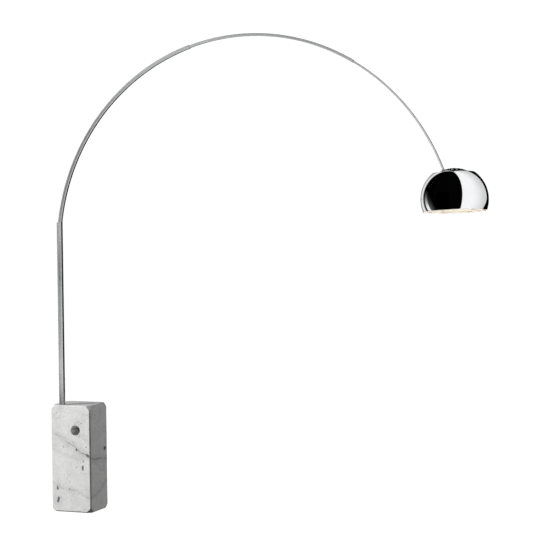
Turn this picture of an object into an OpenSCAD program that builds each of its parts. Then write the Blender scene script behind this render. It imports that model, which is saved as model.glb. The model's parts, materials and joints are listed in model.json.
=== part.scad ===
// Arc floor lamp: a stone block, a square post, a three-piece telescoping arc and a swivelling dome reflector.
// Millimetres. Origin on the floor under the middle of the block, +X towards the reflector, +Z up.

/* [Block] */
// Width of the stone block, along the arc
base_w = 226; // [180:1:300]
// Depth of the stone block, across the arc
base_d = 194; // [150:1:260]
// Height of the stone block
base_h = 550; // [420:5:700]
// Chamfer along the block's edges
base_chamfer = 6; // [3:0.5:9]
// Leg of the facet that cuts each corner of the block
corner_leg = 28; // [18:1:34]
// Diameter of the hole for the lifting bar
lift_d = 50; // [30:1:60]
// Lifting hole's distance from the block's middle, towards the reflector
lift_x = 28; // [20:1:40]
// Depth of the lifting hole's centre under the block's top
lift_drop = 129; // [110:1:160]
// Diameter of the felt pads under the block
pad_d = 22; // [14:1:24]
// Thickness of the felt pads
pad_t = 3; // [2.5:0.5:5]

/* [Post] */
// Width of the post, along the arc
post_w = 25; // [22:0.5:32]
// Depth of the post, across the arc
post_d = 19; // [18:0.5:24]
// Wall of the post
post_wall = 1.8; // [1.5:0.1:2]
// Height of the post's top above the floor
post_top = 1487; // [1200:1:1800]
// Gap from the block's left face to the post
post_from_side = 45; // [36:1:60]
// Gap from the block's front face to the post
post_from_front = 12; // [10:1:24]
// How far the post goes into the block
post_sink = 90; // [80:1:110]

/* [Arc] */
// Radius of the arc's inner edge
arc_r = 1044; // [850:1:1300]
// Lean of the arc where it leaves the post
arc_entry_deg = 7.7; // [6.5:0.1:9]
// Angle of the lower section's mouth, above the horizontal through the arc's centre
lower_mouth_deg = 107.2; // [100:0.1:112]
// Angle of the middle section's mouth
middle_mouth_deg = 59.1; // [54:0.1:64]
// Angle of the arc's end
arc_end_deg = 21.2; // [18:0.1:24]
// How far each section slides into the one before it
slide_deg = 15; // [10:1:18]
// Sheet thickness of the arc's channels
sheet_t = 1.5; // [1.2:0.1:1.7]
// Radial depth of the lower section
arc_depth = 18; // [17:0.5:22]
// Gap between two sections at the inner edge
inner_gap = 0.3; // [0.3:0.05:0.4]
// Gap between two sections at the outer edge
outer_gap = 1.1; // [0.8:0.1:1.2]
// Gap between two sections at each side
side_gap = 0.3; // [0.3:0.05:0.4]

/* [Lead] */
// Diameter of the lead inside the lamp
lead_d = 4.2; // [3:0.1:4.4]
// Height of the lead's exit under the block's top
inlet_drop = 31; // [28:1:36]
// Diameter of the hole in the inlet gland
gland_hole_d = 6.4; // [5:0.1:8]

/* [Head] */
// Outer radius of the dome reflector
shade_r = 160; // [140:1:200]
// Wall of the reflector
shade_wall = 1.5; // [1:0.1:2]
// Drop of the reflector's rim under its centre
rim_drop = 56.4; // [40:0.1:70]
// Half angle of the reflector's top opening
opening_deg = 38; // [36:0.5:42]
// Rest lean of the reflector, towards the arc
shade_lean = 2.9; // [0:0.1:4]
// Rest tilt of the reflector, front edge up
shade_pitch = 3.8; // [0:0.1:5]
// Radial step from the reflector's outside to the cap's outside
cap_step = 13; // [12:0.5:15]
// Wall of the cap
cap_wall = 1.2; // [1:0.1:1.6]
// Half angle that the cap spans
cap_deg = 64; // [60:1:70]
// Diameter of the vent holes in the cap
vent_d = 11; // [8:0.5:12]
// Spacing of the rings of vent holes
vent_pitch = 18; // [16:0.5:20]
// Thickness of the felt ring between cap and reflector
felt_t = 2; // [1.5:0.1:2.4]
// Diameter of the light bulb
bulb_d = 60; // [45:1:66]

/* [Hidden] */
$fn = 96;

over = 1;              // how far a cutter runs past a face
free_gap = 0.3;        // clearance between bodies that move
slip = 0.2;            // clearance between pieces that are pushed together
edge = 0.6;            // small chamfer along the steel channels

steel = "silver";
plastic = "dimgray";
brass = "goldenrod";

// Block and what it holds
pad_proud = 1;                          // how far the pads lift the block
block_z0 = pad_proud;
block_top = block_z0 + base_h;
pad_inset = [30, 34];
corner_pads = [for (sx = [-1, 1], sy = [-1, 1])
    [sx * (base_w / 2 - pad_inset[0]), sy * (base_d / 2 - pad_inset[1])]];
pad_places = concat([[0, 0]], corner_pads);

post_cx = -base_w / 2 + post_from_side + post_w / 2;
post_cy = -base_d / 2 + post_from_front + post_d / 2;
post_z0 = block_top - post_sink;
post_in_w = post_w - 2 * post_wall;
post_in_d = post_d - 2 * post_wall;

rod_d = 8;
rod_grip = 25;                          // thread inside the post's foot
nut_flats = 13;
nut_h = 6.5;
washer_d = 24;
washer_t = 2;
recess_d = washer_d + 4;
recess_h = 30;
rod_end = 6;                            // thread past the nut
foot_h = 40;
pin_d = 5;
pin_drop = 8;
pin_z = post_z0 + foot_h - pin_drop;

inlet_z = block_top - inlet_drop;
sleeve_od = 15.6;
sleeve_id = 12;
gland_flange_d = 24;
gland_flange_t = 3;
gland_reach = 14;

// Arc: one centre for all three sections, so that they slide inside each other
arc_cx = post_cx + post_w / 2 + arc_r * cos(arc_entry_deg);
arc_cz = post_top - arc_r * sin(arc_entry_deg);
entry_deg = 180 - arc_entry_deg;
deg_per_mm = 180 / (PI * arc_r);
step_in = sheet_t + inner_gap;
lower_r = arc_r;
middle_r = lower_r + step_in;
upper_r = middle_r + step_in;
depth_step = 2 * sheet_t + inner_gap + outer_gap;
arc_width = post_in_d - 2 * slip;
middle_depth = arc_depth - depth_step;
upper_depth = middle_depth - depth_step;
width_step = 2 * (sheet_t + side_gap);
middle_width = arc_width - width_step;
upper_width = middle_width - width_step;
lip = 1.2;                              // lip each side of a channel's slot, inside the wall
lead_r = upper_r + upper_depth / 2;

mouth_in = 24;                          // how far the lower section goes into the post
lower_foot_deg = entry_deg + mouth_in * deg_per_mm;
overlap_deg = 110 * deg_per_mm;         // engagement of two sections when pulled out
shoe_deg = 26 * deg_per_mm;
middle_tail_deg = lower_mouth_deg + overlap_deg;
upper_tail_deg = middle_mouth_deg + overlap_deg;
glide_deg = 40 * deg_per_mm;
lead_slack_deg = slide_deg + 1;

// Joiner: a straight leg in the post and a curved leg in the lower section
leg_gap = 8;                            // from the lower section's foot to the straight leg
leg_top = post_top - mouth_in - leg_gap;
leg_h = 120;
joiner_low_deg = entry_deg + (mouth_in + 20) * deg_per_mm;
joiner_high_deg = entry_deg - 70 * deg_per_mm;
screw_d = 5;
screw_drops = [62, 122];                // screws through the post into the joiner, below its top
arc_screw_deg = entry_deg - 40 * deg_per_mm;
shoe_pin_d = 3;
groove_w = lead_d + 1.2;
lead_bend_r = 4 * lead_d;
lead_swell = 0.3;                       // how much a kink in the lead bulges
lead_kink_deg = 180 - asin((leg_top - arc_cz) / lead_r);
lead_x = arc_cx + lead_r * cos(lead_kink_deg);

// Head: the arc's end points at the reflector's centre
neck_gap = 2.6;                         // from the cap's outside to the arc's end
cap_r = shade_r - cap_step;
neck_len = cap_r + neck_gap;
arc_mid = upper_r + upper_depth / 2;
head_x = arc_cx + arc_mid * cos(arc_end_deg) + neck_len * sin(arc_end_deg);
head_z = arc_cz + arc_mid * sin(arc_end_deg) - neck_len * cos(arc_end_deg);
nipple_d = 9.9;
nipple_bore = 6.5;
flange_d = 15;
flange_t = 5;
cap_nut_flats = 14;
cap_nut_h = 5;
cap_washer_d = 16;
cap_washer_t = 1.5;
cap_in_r = cap_r - cap_wall;
cap_seat = sqrt(pow(cap_in_r, 2) - pow(cap_washer_d / 2, 2));
felt_r0 = cap_r + free_gap;
felt_r1 = felt_r0 + felt_t;
seat_r0 = felt_r1 + free_gap;
seat_t = 1.5;
seat_deg = 5;
seat_web_deg = 0.6;                     // web that joins the seat to the reflector
seat_flange_deg = 3.5;                  // its flange inside the reflector
felt_over_deg = 0.5;                    // how far the felt reaches past the opening
shade_in_r = shade_r - shade_wall;
past_rim_deg = 120;                     // well past the rim, where the outline is cut off

// Lampholder and bulb, measured down the neck from the cap
holder_drop = 8;
holder_top = cap_seat - holder_drop;
boss_h = 8;
boss_d = 18;
holder_h = 44;
holder_d = 39;
holder_wall = 3;
holder_base = holder_top - boss_h;
holder_mouth = holder_base - holder_h;
insert_h = 8;
insert_drop = 12;
insert_z = holder_base - holder_wall - insert_drop;
contact_t = 1.4;
contact_d = 9;
shell_d = 28.6;
shell_t = 0.7;
shell_h = 22;
tip_h = 2;
bulb_tip = insert_z - contact_t - tip_h;
bulb_cap_d = 26.2;
bulb_cap_h = 24;
bulb_cone_h = 3;
bulb_len = 104;
bulb_wall = 1;
bulb_neck_d = 25.4;

// Outline of a rectangle from radius r0 to r1 and width w, with small chamfers
function bar_outline(r0, r1, w, c) = [
    [r0 + c, -w / 2], [r1 - c, -w / 2], [r1, -w / 2 + c], [r1, w / 2 - c],
    [r1 - c, w / 2], [r0 + c, w / 2], [r0, w / 2 - c], [r0, -w / 2 + c]
];

// Sweeps an outline, drawn at its radius, along the arc between two angles
module along_arc(from_deg, to_deg)
    translate([arc_cx, post_cy, arc_cz]) rotate([90, 0, 0])
        rotate_extrude(angle = to_deg - from_deg, start = from_deg, $fn = 360) children();

// Places children at an angle on the arc: X outwards, Y across, Z along it towards the post
module on_arc(deg, r)
    translate([arc_cx, post_cy, arc_cz]) rotate([0, -deg, 0]) translate([r, 0, 0]) children();

module at_head() translate([head_x, post_cy, head_z]) children();

module on_neck() at_head() rotate([0, -arc_end_deg, 0]) children();

module on_shade() at_head() rotate([-shade_pitch, -shade_lean, 0]) children();

module at_post(z) translate([post_cx, post_cy, z]) children();

module tube(h, od, id)
    difference() {
        cylinder(h = h, d = od);
        translate([0, 0, -over]) cylinder(h = h + 2 * over, d = id);
    }

module hex_nut(h, flats, bore)
    difference() {
        cylinder(h = h, d = flats / cos(30), $fn = 6);
        translate([0, 0, -over]) cylinder(h = h + 2 * over, d = bore);
    }

// Button-head screw lying along Z, its head's underside at z = 0
module button_screw(d, length) {
    head_d = 1.8 * d;
    head_h = 0.55 * d;
    difference() {
        union() {
            cylinder(h = head_h, d = head_d);
            translate([0, 0, -length]) cylinder(h = length + over / 2, d = d);
        }
        translate([0, 0, head_h * 0.4]) cylinder(h = head_h, d = 0.7 * d, $fn = 6);
    }
}

module channel_outline(r0, depth, width) {
    slot = width - 2 * (sheet_t + lip);
    difference() {
        polygon(bar_outline(r0, r0 + depth, width, edge));
        translate([r0 + sheet_t, -width / 2 + sheet_t])
            square([depth - 2 * sheet_t, width - 2 * sheet_t]);
        translate([r0 - over, -slot / 2]) square([sheet_t + 2 * over, slot]);
    }
}

// Solid filling of a channel, less a clearance all round
module core_outline(r0, depth, width, gap)
    translate([r0 + sheet_t + gap, -width / 2 + sheet_t + gap])
        square([depth - 2 * (sheet_t + gap), width - 2 * (sheet_t + gap)]);

module lead_outline(d) translate([lead_r, 0]) circle(d = d, $fn = 48);

// Ring zone of a spherical shell between two polar angles, as an outline for a revolve
module zone_outline(r0, r1, deg0, deg1) {
    reach = 2 * r1;
    intersection() {
        difference() {
            circle(r = r1, $fn = 360);
            circle(r = r0, $fn = 360);
        }
        polygon([[0, 0], [reach * sin(deg0), reach * cos(deg0)], [reach * sin(deg1), reach * cos(deg1)]]);
    }
}

module block_blank() {
    c = base_chamfer;
    wide = [[c, 0], [base_w - c, 0], [base_w, c], [base_w, base_d - c],
        [base_w - c, base_d], [c, base_d], [0, base_d - c], [0, c]];
    front = [[c, 0], [base_w - c, 0], [base_w, c], [base_w, base_h - c],
        [base_w - c, base_h], [c, base_h], [0, base_h - c], [0, c]];
    side = [[c, 0], [base_d - c, 0], [base_d, c], [base_d, base_h - c],
        [base_d - c, base_h], [c, base_h], [0, base_h - c], [0, c]];
    translate([-base_w / 2, -base_d / 2, block_z0]) intersection() {
        linear_extrude(base_h) polygon(wide);
        translate([0, base_d, 0]) rotate([90, 0, 0]) linear_extrude(base_d) polygon(front);
        rotate([90, 0, 90]) linear_extrude(base_w) polygon(side);
    }
}

module corner_cutters() {
    tilt = acos(1 / sqrt(3));
    size = 4 * corner_leg;
    for (sx = [-1, 1], sy = [-1, 1], top = [0, 1])
        translate([sx * base_w / 2, sy * base_d / 2, block_z0 + top * base_h])
            rotate([0, top == 1 ? tilt : 180 - tilt, atan2(sy, sx)])
                translate([-size / 2, -size / 2, -corner_leg / sqrt(3)]) cube(size);
}

module marble_block() {
    color("whitesmoke") difference() {
        block_blank();
        corner_cutters();
        translate([lift_x, 0, block_top - lift_drop]) rotate([90, 0, 0])
            cylinder(h = base_d + 2 * over, d = lift_d, center = true);
        at_post(post_z0) translate([-post_w / 2 - slip, -post_d / 2 - slip, 0])
            cube([post_w + 2 * slip, post_d + 2 * slip, post_sink + over]);
        at_post(-over) cylinder(h = post_z0 + 2 * over, d = rod_d + 1);
        at_post(-over) cylinder(h = recess_h + over, d = recess_d);
        translate([post_cx, post_cy, inlet_z]) rotate([-90, 0, 0])
            cylinder(h = base_d, d = sleeve_od + slip);
        for (p = pad_places) translate([p[0], p[1], -over])
            cylinder(h = over + pad_t, d = pad_d + slip);
    }
}

module floor_pads()
    color("gray") for (p = pad_places) translate([p[0], p[1], 0]) cylinder(h = pad_t, d = pad_d);

module tie_rod() {
    rod_z0 = recess_h - washer_t - nut_h - rod_end;
    color(steel) at_post(rod_z0) cylinder(h = post_z0 + rod_grip - rod_z0, d = rod_d);
}

module tie_rod_washer()
    color(steel) at_post(recess_h - washer_t) tube(washer_t, washer_d, rod_d + 0.4);

module tie_rod_nut()
    color(steel) at_post(recess_h - washer_t - nut_h) hex_nut(nut_h, nut_flats, rod_d);

module conduit_sleeve() {
    y0 = post_cy + post_d / 2 + slip;
    color(plastic) translate([post_cx, y0, inlet_z]) rotate([-90, 0, 0])
        tube(base_d / 2 - y0, sleeve_od, sleeve_id);
}

module inlet_gland() {
    color(plastic) translate([post_cx, base_d / 2, inlet_z]) rotate([-90, 0, 0]) difference() {
        union() {
            cylinder(h = gland_flange_t, d1 = gland_flange_d, d2 = gland_flange_d - 5);
            translate([0, 0, -gland_reach]) cylinder(h = gland_reach + over, d = sleeve_id - slip);
        }
        translate([0, 0, -gland_reach - over])
            cylinder(h = gland_reach + gland_flange_t + 2 * over, d = gland_hole_d);
    }
}

module post_tube() {
    window_h = 26;
    color(steel) difference() {
        at_post(post_z0) linear_extrude(post_top - post_z0) difference() {
            polygon(bar_outline(-post_w / 2, post_w / 2, post_d, edge));
            square([post_in_w, post_in_d], center = true);
        }
        translate([post_cx - groove_w, post_cy, inlet_z - groove_w])
            cube([2 * groove_w, post_d, window_h]);
        at_post(pin_z) rotate([0, 90, 0]) cylinder(h = 2 * post_w, d = pin_d, center = true);
        for (drop = screw_drops) at_post(post_top - drop) rotate([-90, 0, 0])
            cylinder(h = post_d, d = screw_d + slip);
        lower_passage();
    }
}

// Room for the lower section through the post's mouth
module lower_passage()
    along_arc(entry_deg - 2, lower_foot_deg)
        translate([lower_r - slip, -arc_width / 2 - slip / 2])
            square([arc_depth + 2 * slip, arc_width + slip]);

module post_foot() {
    color(steel) difference() {
        at_post(post_z0) linear_extrude(foot_h)
            square([post_in_w - slip, post_in_d - slip], center = true);
        at_post(post_z0 - over) cylinder(h = rod_grip + over, d = rod_d);
        at_post(pin_z) rotate([0, 90, 0]) cylinder(h = 2 * post_w, d = pin_d, center = true);
    }
}

module foot_pin()
    color(steel) at_post(pin_z) rotate([0, 90, 0]) cylinder(h = post_w, d = pin_d, center = true);

// Filler between the post's outer wall and the arc
module post_cap() {
    cap_h = 4;
    x0 = post_cx - post_in_w / 2;
    x1 = arc_cx - sqrt(pow(lower_r + arc_depth + slip, 2) - pow(post_top - cap_h - arc_cz, 2));
    color(steel) translate([x0, post_cy - post_in_d / 2, post_top - cap_h]) cube([x1 - x0, post_in_d, cap_h]);
}

module arc_joiner() {
    groove_r = lead_r + groove_w / 2;
    color("darkgray") difference() {
        union() {
            at_post(leg_top - leg_h) linear_extrude(leg_h)
                square([post_in_w - slip, post_in_d - slip], center = true);
            along_arc(joiner_high_deg, joiner_low_deg)
                core_outline(lower_r, arc_depth, arc_width, slip / 2);
        }
        along_arc(joiner_high_deg - 1, joiner_low_deg)
            translate([lower_r - over, -groove_w / 2]) square([groove_r - lower_r + over, groove_w]);
        translate([lead_x - groove_w / 2, post_cy - groove_w / 2, leg_top - leg_h - over])
            cube([post_w, groove_w, leg_h + 2 * over]);
        for (drop = screw_drops) at_post(post_top - drop) rotate([-90, 0, 0])
            cylinder(h = post_d, d = screw_d);
        arc_screw_place() translate([0, 0, -arc_width / 2]) cylinder(h = arc_width, d = screw_d - 1);
    }
}

// The screw that holds the lower section to the joiner, from the back
module arc_screw_place()
    on_arc(arc_screw_deg, lower_r + arc_depth / 2) translate([0, arc_width / 2, 0])
        rotate([-90, 0, 0]) children();

module joiner_screws() {
    color(steel) {
        for (drop = screw_drops) at_post(post_top - drop) translate([0, post_d / 2, 0])
            rotate([-90, 0, 0]) button_screw(screw_d, post_wall + slip / 2 + 4);
        arc_screw_place() button_screw(screw_d - 1, sheet_t + 3.2);
    }
}

module arc_lower() {
    color(steel) difference() {
        along_arc(lower_mouth_deg, lower_foot_deg) channel_outline(lower_r, arc_depth, arc_width);
        arc_screw_place() translate([0, 0, -sheet_t - over])
            cylinder(h = sheet_t + 2 * over, d = screw_d - 1 + slip);
    }
}

// Thin sliding strip under a section's roof, just inside its mouth
module glide(mouth_deg, r0, depth, width) {
    roof = r0 + depth - sheet_t;
    strip_w = width - 2 * sheet_t - 1;
    color("ivory") along_arc(mouth_deg + 0.1, mouth_deg + 0.1 + glide_deg)
        translate([roof - outer_gap + free_gap, -strip_w / 2]) square([outer_gap - free_gap, strip_w]);
}

module lower_glide() glide(lower_mouth_deg, lower_r, arc_depth, arc_width);

module middle_glide() glide(middle_mouth_deg, middle_r, middle_depth, middle_width);

module lead_base() {
    bend_y = post_cy + lead_bend_r;
    color("white") {
        along_arc(middle_tail_deg + shoe_deg + lead_slack_deg, lead_kink_deg) lead_outline(lead_d);
        on_arc(lead_kink_deg, lead_r) sphere(d = lead_d + lead_swell, $fn = 48);
        translate([lead_x, post_cy, inlet_z + lead_bend_r])
            cylinder(h = leg_top - inlet_z - lead_bend_r, d = lead_d, $fn = 48);
        translate([lead_x, bend_y, inlet_z + lead_bend_r]) rotate([0, 90, 0])
            rotate_extrude(angle = 90, start = 270) translate([lead_bend_r, 0])
                circle(d = lead_d, $fn = 48);
        translate([lead_x, bend_y, inlet_z]) rotate([-90, 0, 0])
            cylinder(h = base_d / 2 - gland_reach / 2 - bend_y, d = lead_d, $fn = 48);
    }
}

module arc_middle() {
    color(steel) difference() {
        along_arc(middle_mouth_deg, middle_tail_deg) channel_outline(middle_r, middle_depth, middle_width);
        middle_pin_place() cylinder(h = 2 * arc_width, d = shoe_pin_d, center = true);
    }
}

// Sliding block that fills the lower channel behind the middle section, with a plug inside its tail
module middle_shoe() {
    color("ivory") difference() {
        union() {
            along_arc(middle_tail_deg, middle_tail_deg + shoe_deg)
                core_outline(lower_r, arc_depth, arc_width, slip);
            along_arc(middle_tail_deg - shoe_deg, middle_tail_deg + shoe_deg / 2)
                core_outline(middle_r, middle_depth, middle_width, slip / 2);
        }
        along_arc(middle_tail_deg - 2 * shoe_deg, middle_tail_deg + 2 * shoe_deg)
            lead_outline(lead_d + slip);
        middle_pin_place() cylinder(h = 2 * arc_width, d = shoe_pin_d, center = true);
    }
}

module middle_pin_place()
    on_arc(middle_tail_deg - shoe_deg / 2, middle_r + middle_depth / 2) rotate([90, 0, 0]) children();

// Two short pins, one through each side wall of the tail into the shoe
module middle_shoe_pins() {
    reach = (middle_width - lead_d) / 2 - 0.4;
    color(steel) middle_pin_place() for (side = [0, 1])
        mirror([0, 0, side]) translate([0, 0, middle_width / 2 - reach])
            cylinder(h = reach, d = shoe_pin_d);
}

module lead_middle()
    color("white") along_arc(upper_tail_deg + shoe_deg + lead_slack_deg,
        middle_tail_deg + shoe_deg) lead_outline(lead_d);

module arc_upper()
    color(steel) along_arc(arc_end_deg, upper_tail_deg)
        channel_outline(upper_r, upper_depth, upper_width);

// Sliding block behind the upper section, with a tongue bonded under the section's roof
module upper_shoe() {
    roof = upper_r + upper_depth - sheet_t;
    tongue_t = roof - lead_r - lead_d / 2 - 0.2;
    tongue_w = upper_width - 2 * (sheet_t + slip);
    color("ivory") difference() {
        union() {
            along_arc(upper_tail_deg, upper_tail_deg + shoe_deg)
                core_outline(middle_r, middle_depth, middle_width, slip);
            along_arc(upper_tail_deg - shoe_deg, upper_tail_deg + shoe_deg / 2)
                translate([roof - tongue_t, -tongue_w / 2]) square([tongue_t, tongue_w]);
        }
        along_arc(upper_tail_deg - 2 * shoe_deg, upper_tail_deg + 2 * shoe_deg)
            lead_outline(lead_d + slip);
    }
}

module lead_upper() {
    color("white") {
        along_arc(arc_end_deg, upper_tail_deg + shoe_deg) lead_outline(lead_d);
        on_arc(arc_end_deg, lead_r) sphere(d = lead_d + lead_swell, $fn = 48);
        on_neck() translate([0, 0, holder_base - holder_wall])
            cylinder(h = neck_len - holder_base + holder_wall, d = lead_d, $fn = 48);
    }
}

module neck_flange() {
    color(steel) difference() {
        on_neck() translate([0, 0, cap_r]) cylinder(h = flange_t, d = flange_d);
        along_arc(arc_end_deg, arc_end_deg + 1)
            translate([upper_r - slip / 2, -upper_width / 2 - slip / 2])
                square([upper_depth + slip, upper_width + slip]);
        on_neck() cylinder(h = neck_len, d = nipple_d);
    }
}

module cap_nipple()
    color(steel) on_neck() translate([0, 0, holder_base + 0.5])
        tube(neck_len - slip - holder_base - 0.5, nipple_d, nipple_bore);

module cap_washer()
    color(steel) on_neck() translate([0, 0, cap_seat - cap_washer_t])
        tube(cap_washer_t, cap_washer_d, nipple_d + slip);

module cap_nut()
    color(steel) on_neck() translate([0, 0, cap_seat - cap_washer_t - cap_nut_h])
        hex_nut(cap_nut_h, cap_nut_flats, nipple_d);

// Vent holes in rings about the vertical, leaving room for the neck
module vents() {
    room = flange_d / 2 + vent_d / 2 + 2;
    neck_x = -cap_r * sin(arc_end_deg);
    for (ring = [0:2], i = [0:max(6 * ring - 1, 0)]) {
        turn = 360 * i / max(6 * ring, 1);
        r = ring * vent_pitch;
        if (norm([r * cos(turn) - neck_x, r * sin(turn)]) > room)
            rotate([0, asin(r / cap_r), turn]) translate([0, 0, cap_r / 2])
                cylinder(h = cap_r, d = vent_d, $fn = 32);
    }
}

module cap_dome() {
    color("gainsboro") difference() {
        at_head() rotate_extrude() zone_outline(cap_in_r, cap_r, 0, cap_deg);
        at_head() vents();
        on_neck() cylinder(h = 2 * cap_r, d = nipple_d + slip);
    }
}

module holder_body() {
    color(plastic) on_neck() difference() {
        union() {
            translate([0, 0, holder_mouth]) cylinder(h = holder_h, d = holder_d);
            translate([0, 0, holder_base - over]) cylinder(h = boss_h + over, d = boss_d);
        }
        translate([0, 0, holder_mouth - over])
            cylinder(h = holder_h - holder_wall + over, d = holder_d - 2 * holder_wall);
        translate([0, 0, holder_base - 2 * holder_wall])
            cylinder(h = 2 * holder_wall + 0.5, d = nipple_bore);
        translate([0, 0, holder_base + 0.5]) cylinder(h = boss_h, d = nipple_d);
    }
}

module holder_ring()
    color(plastic) on_neck() translate([0, 0, holder_mouth + 4]) tube(7, holder_d + 7, holder_d);

module holder_insert()
    color("linen") on_neck() translate([0, 0, insert_z])
        cylinder(h = insert_h, d = holder_d - 2 * holder_wall - slip);

module holder_shell()
    color(brass) on_neck() translate([0, 0, insert_z - shell_h])
        tube(shell_h, shell_d, shell_d - 2 * shell_t);

module holder_contact()
    color(brass) on_neck() translate([0, 0, insert_z - contact_t]) cylinder(h = contact_t, d = contact_d);

module bulb_cap() {
    cone_d = bulb_cap_d - 5;
    color(brass) on_neck() {
        translate([0, 0, bulb_tip - bulb_cap_h]) cylinder(h = bulb_cap_h - bulb_cone_h, d = bulb_cap_d);
        translate([0, 0, bulb_tip - bulb_cone_h - over / 2])
            cylinder(h = bulb_cone_h + over / 2, d1 = cone_d, d2 = contact_d);
        translate([0, 0, bulb_tip]) cylinder(h = tip_h, d = contact_d);
    }
}

// Outline of the glass: a round end and a neck that meets it at a tangent
module bulb_outline(shrink) {
    r = bulb_d / 2 - shrink;
    neck_r = bulb_neck_d / 2 - shrink;
    ball_z = bulb_tip - bulb_len + bulb_d / 2;
    neck_z = bulb_tip - bulb_cap_h;
    span = neck_z - ball_z;
    lean = asin(r / norm([neck_r, span])) - atan2(neck_r, span);
    intersection() {
        union() {
            translate([0, ball_z]) circle(r = r);
            polygon([[0, ball_z], [r * cos(lean), ball_z + r * sin(lean)], [neck_r, neck_z], [0, neck_z]]);
        }
        translate([0, -bulb_len]) square([bulb_len, 4 * bulb_len]);
    }
}

module bulb_glass()
    color("white") on_neck() rotate_extrude() difference() {
        bulb_outline(0);
        bulb_outline(bulb_wall);
    }

module felt_ring()
    color("black") on_shade() rotate_extrude()
        zone_outline(felt_r0, felt_r1, opening_deg - felt_over_deg, opening_deg + seat_deg);

module seat_ring()
    color("gainsboro") on_shade() rotate_extrude() {
        zone_outline(seat_r0, seat_r0 + seat_t, opening_deg, opening_deg + seat_deg);
        zone_outline(seat_r0, shade_in_r, opening_deg, opening_deg + seat_web_deg);
        zone_outline(shade_in_r - seat_t, shade_in_r, opening_deg, opening_deg + seat_flange_deg);
    }

module reflector_shell()
    color("gainsboro") on_shade() rotate_extrude() intersection() {
        zone_outline(shade_in_r, shade_r, opening_deg, past_rim_deg);
        translate([0, -rim_drop]) square([shade_r + over, 2 * shade_r]);
    }

marble_block();
floor_pads();
tie_rod();
tie_rod_washer();
tie_rod_nut();
conduit_sleeve();
inlet_gland();
post_tube();
post_foot();
foot_pin();
post_cap();
arc_joiner();
joiner_screws();
arc_lower();
lower_glide();
lead_base();
arc_middle();
middle_shoe();
middle_shoe_pins();
middle_glide();
lead_middle();
arc_upper();
upper_shoe();
lead_upper();
neck_flange();
cap_nipple();
cap_washer();
cap_nut();
cap_dome();
holder_body();
holder_ring();
holder_insert();
holder_shell();
holder_contact();
bulb_cap();
bulb_glass();
felt_ring();
seat_ring();
reflector_shell();
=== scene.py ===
"""Arc floor lamp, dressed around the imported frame.

A marble block holds a square post. Three steel channels telescope along one arc and carry a perforated cap, on which
a polished reflector tilts and turns. Sizes are in millimetres until a mesh is made; meshes and places are in metres.
"""

import json
import logging
import math
from dataclasses import dataclass
from enum import Enum
from typing import Any, Callable, Iterable, Sequence

import bmesh
import bpy
from mathutils import Matrix, Vector


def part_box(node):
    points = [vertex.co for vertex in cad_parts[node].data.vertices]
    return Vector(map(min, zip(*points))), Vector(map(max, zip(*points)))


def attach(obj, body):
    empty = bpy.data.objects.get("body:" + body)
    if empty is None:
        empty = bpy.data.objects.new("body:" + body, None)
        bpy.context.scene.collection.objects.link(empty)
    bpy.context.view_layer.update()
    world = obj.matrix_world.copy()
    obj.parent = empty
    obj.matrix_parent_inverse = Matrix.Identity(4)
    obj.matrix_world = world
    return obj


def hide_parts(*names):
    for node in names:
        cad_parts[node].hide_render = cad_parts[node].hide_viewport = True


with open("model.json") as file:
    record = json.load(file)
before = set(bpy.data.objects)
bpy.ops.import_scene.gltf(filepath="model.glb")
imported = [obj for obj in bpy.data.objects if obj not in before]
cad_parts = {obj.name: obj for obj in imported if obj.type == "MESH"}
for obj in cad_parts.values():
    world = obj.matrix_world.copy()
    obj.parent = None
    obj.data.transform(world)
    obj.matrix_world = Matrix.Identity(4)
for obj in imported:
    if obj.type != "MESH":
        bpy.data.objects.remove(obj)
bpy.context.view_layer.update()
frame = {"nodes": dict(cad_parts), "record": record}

log = logging.getLogger("arc_lamp")

MM = 0.001
FIT_LIMIT = 0.6  # mm that a made piece may differ from the node it stands for before a warning
OVERRUN = 5.0  # mm that a cutting solid reaches past the face it cuts

Outline = list[tuple[float, float]]
Point = tuple[float, float, float]
Faces = list[tuple[int, ...]]


# ---------------------------------------------------------------- nodes


def linear(colour: str) -> tuple[float, float, float, float]:
    """Turns an sRGB hex colour into linear RGBA.

    Args:
        colour: Six hex digits after a hash.

    Returns:
        Red, green, blue and an alpha of one.
    """
    parts = [int(colour[i : i + 2], 16) / 255 for i in (1, 3, 5)]
    r, g, b = (c / 12.92 if c <= 0.04045 else ((c + 0.055) / 1.055) ** 2.4 for c in parts)
    return r, g, b, 1.0


def put(tree: bpy.types.NodeTree, kind: str, inputs: dict[Any, Any] | None = None, **settings: Any) -> bpy.types.Node:
    """Adds a node with its settings, constants and links.

    Args:
        tree: The tree that gets the node.
        kind: The node's type.
        inputs: Input name or number to a constant, or to the output socket that feeds it.
        **settings: The node's own properties.

    Returns:
        The new node.
    """
    node = tree.nodes.new(kind)
    for key, value in settings.items():
        setattr(node, key, value)
    for key, value in (inputs or {}).items():
        if isinstance(value, bpy.types.NodeSocket):
            tree.links.new(value, node.inputs[key])
        else:
            node.inputs[key].default_value = value
    return node


# ---------------------------------------------------------------- finishes


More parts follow.
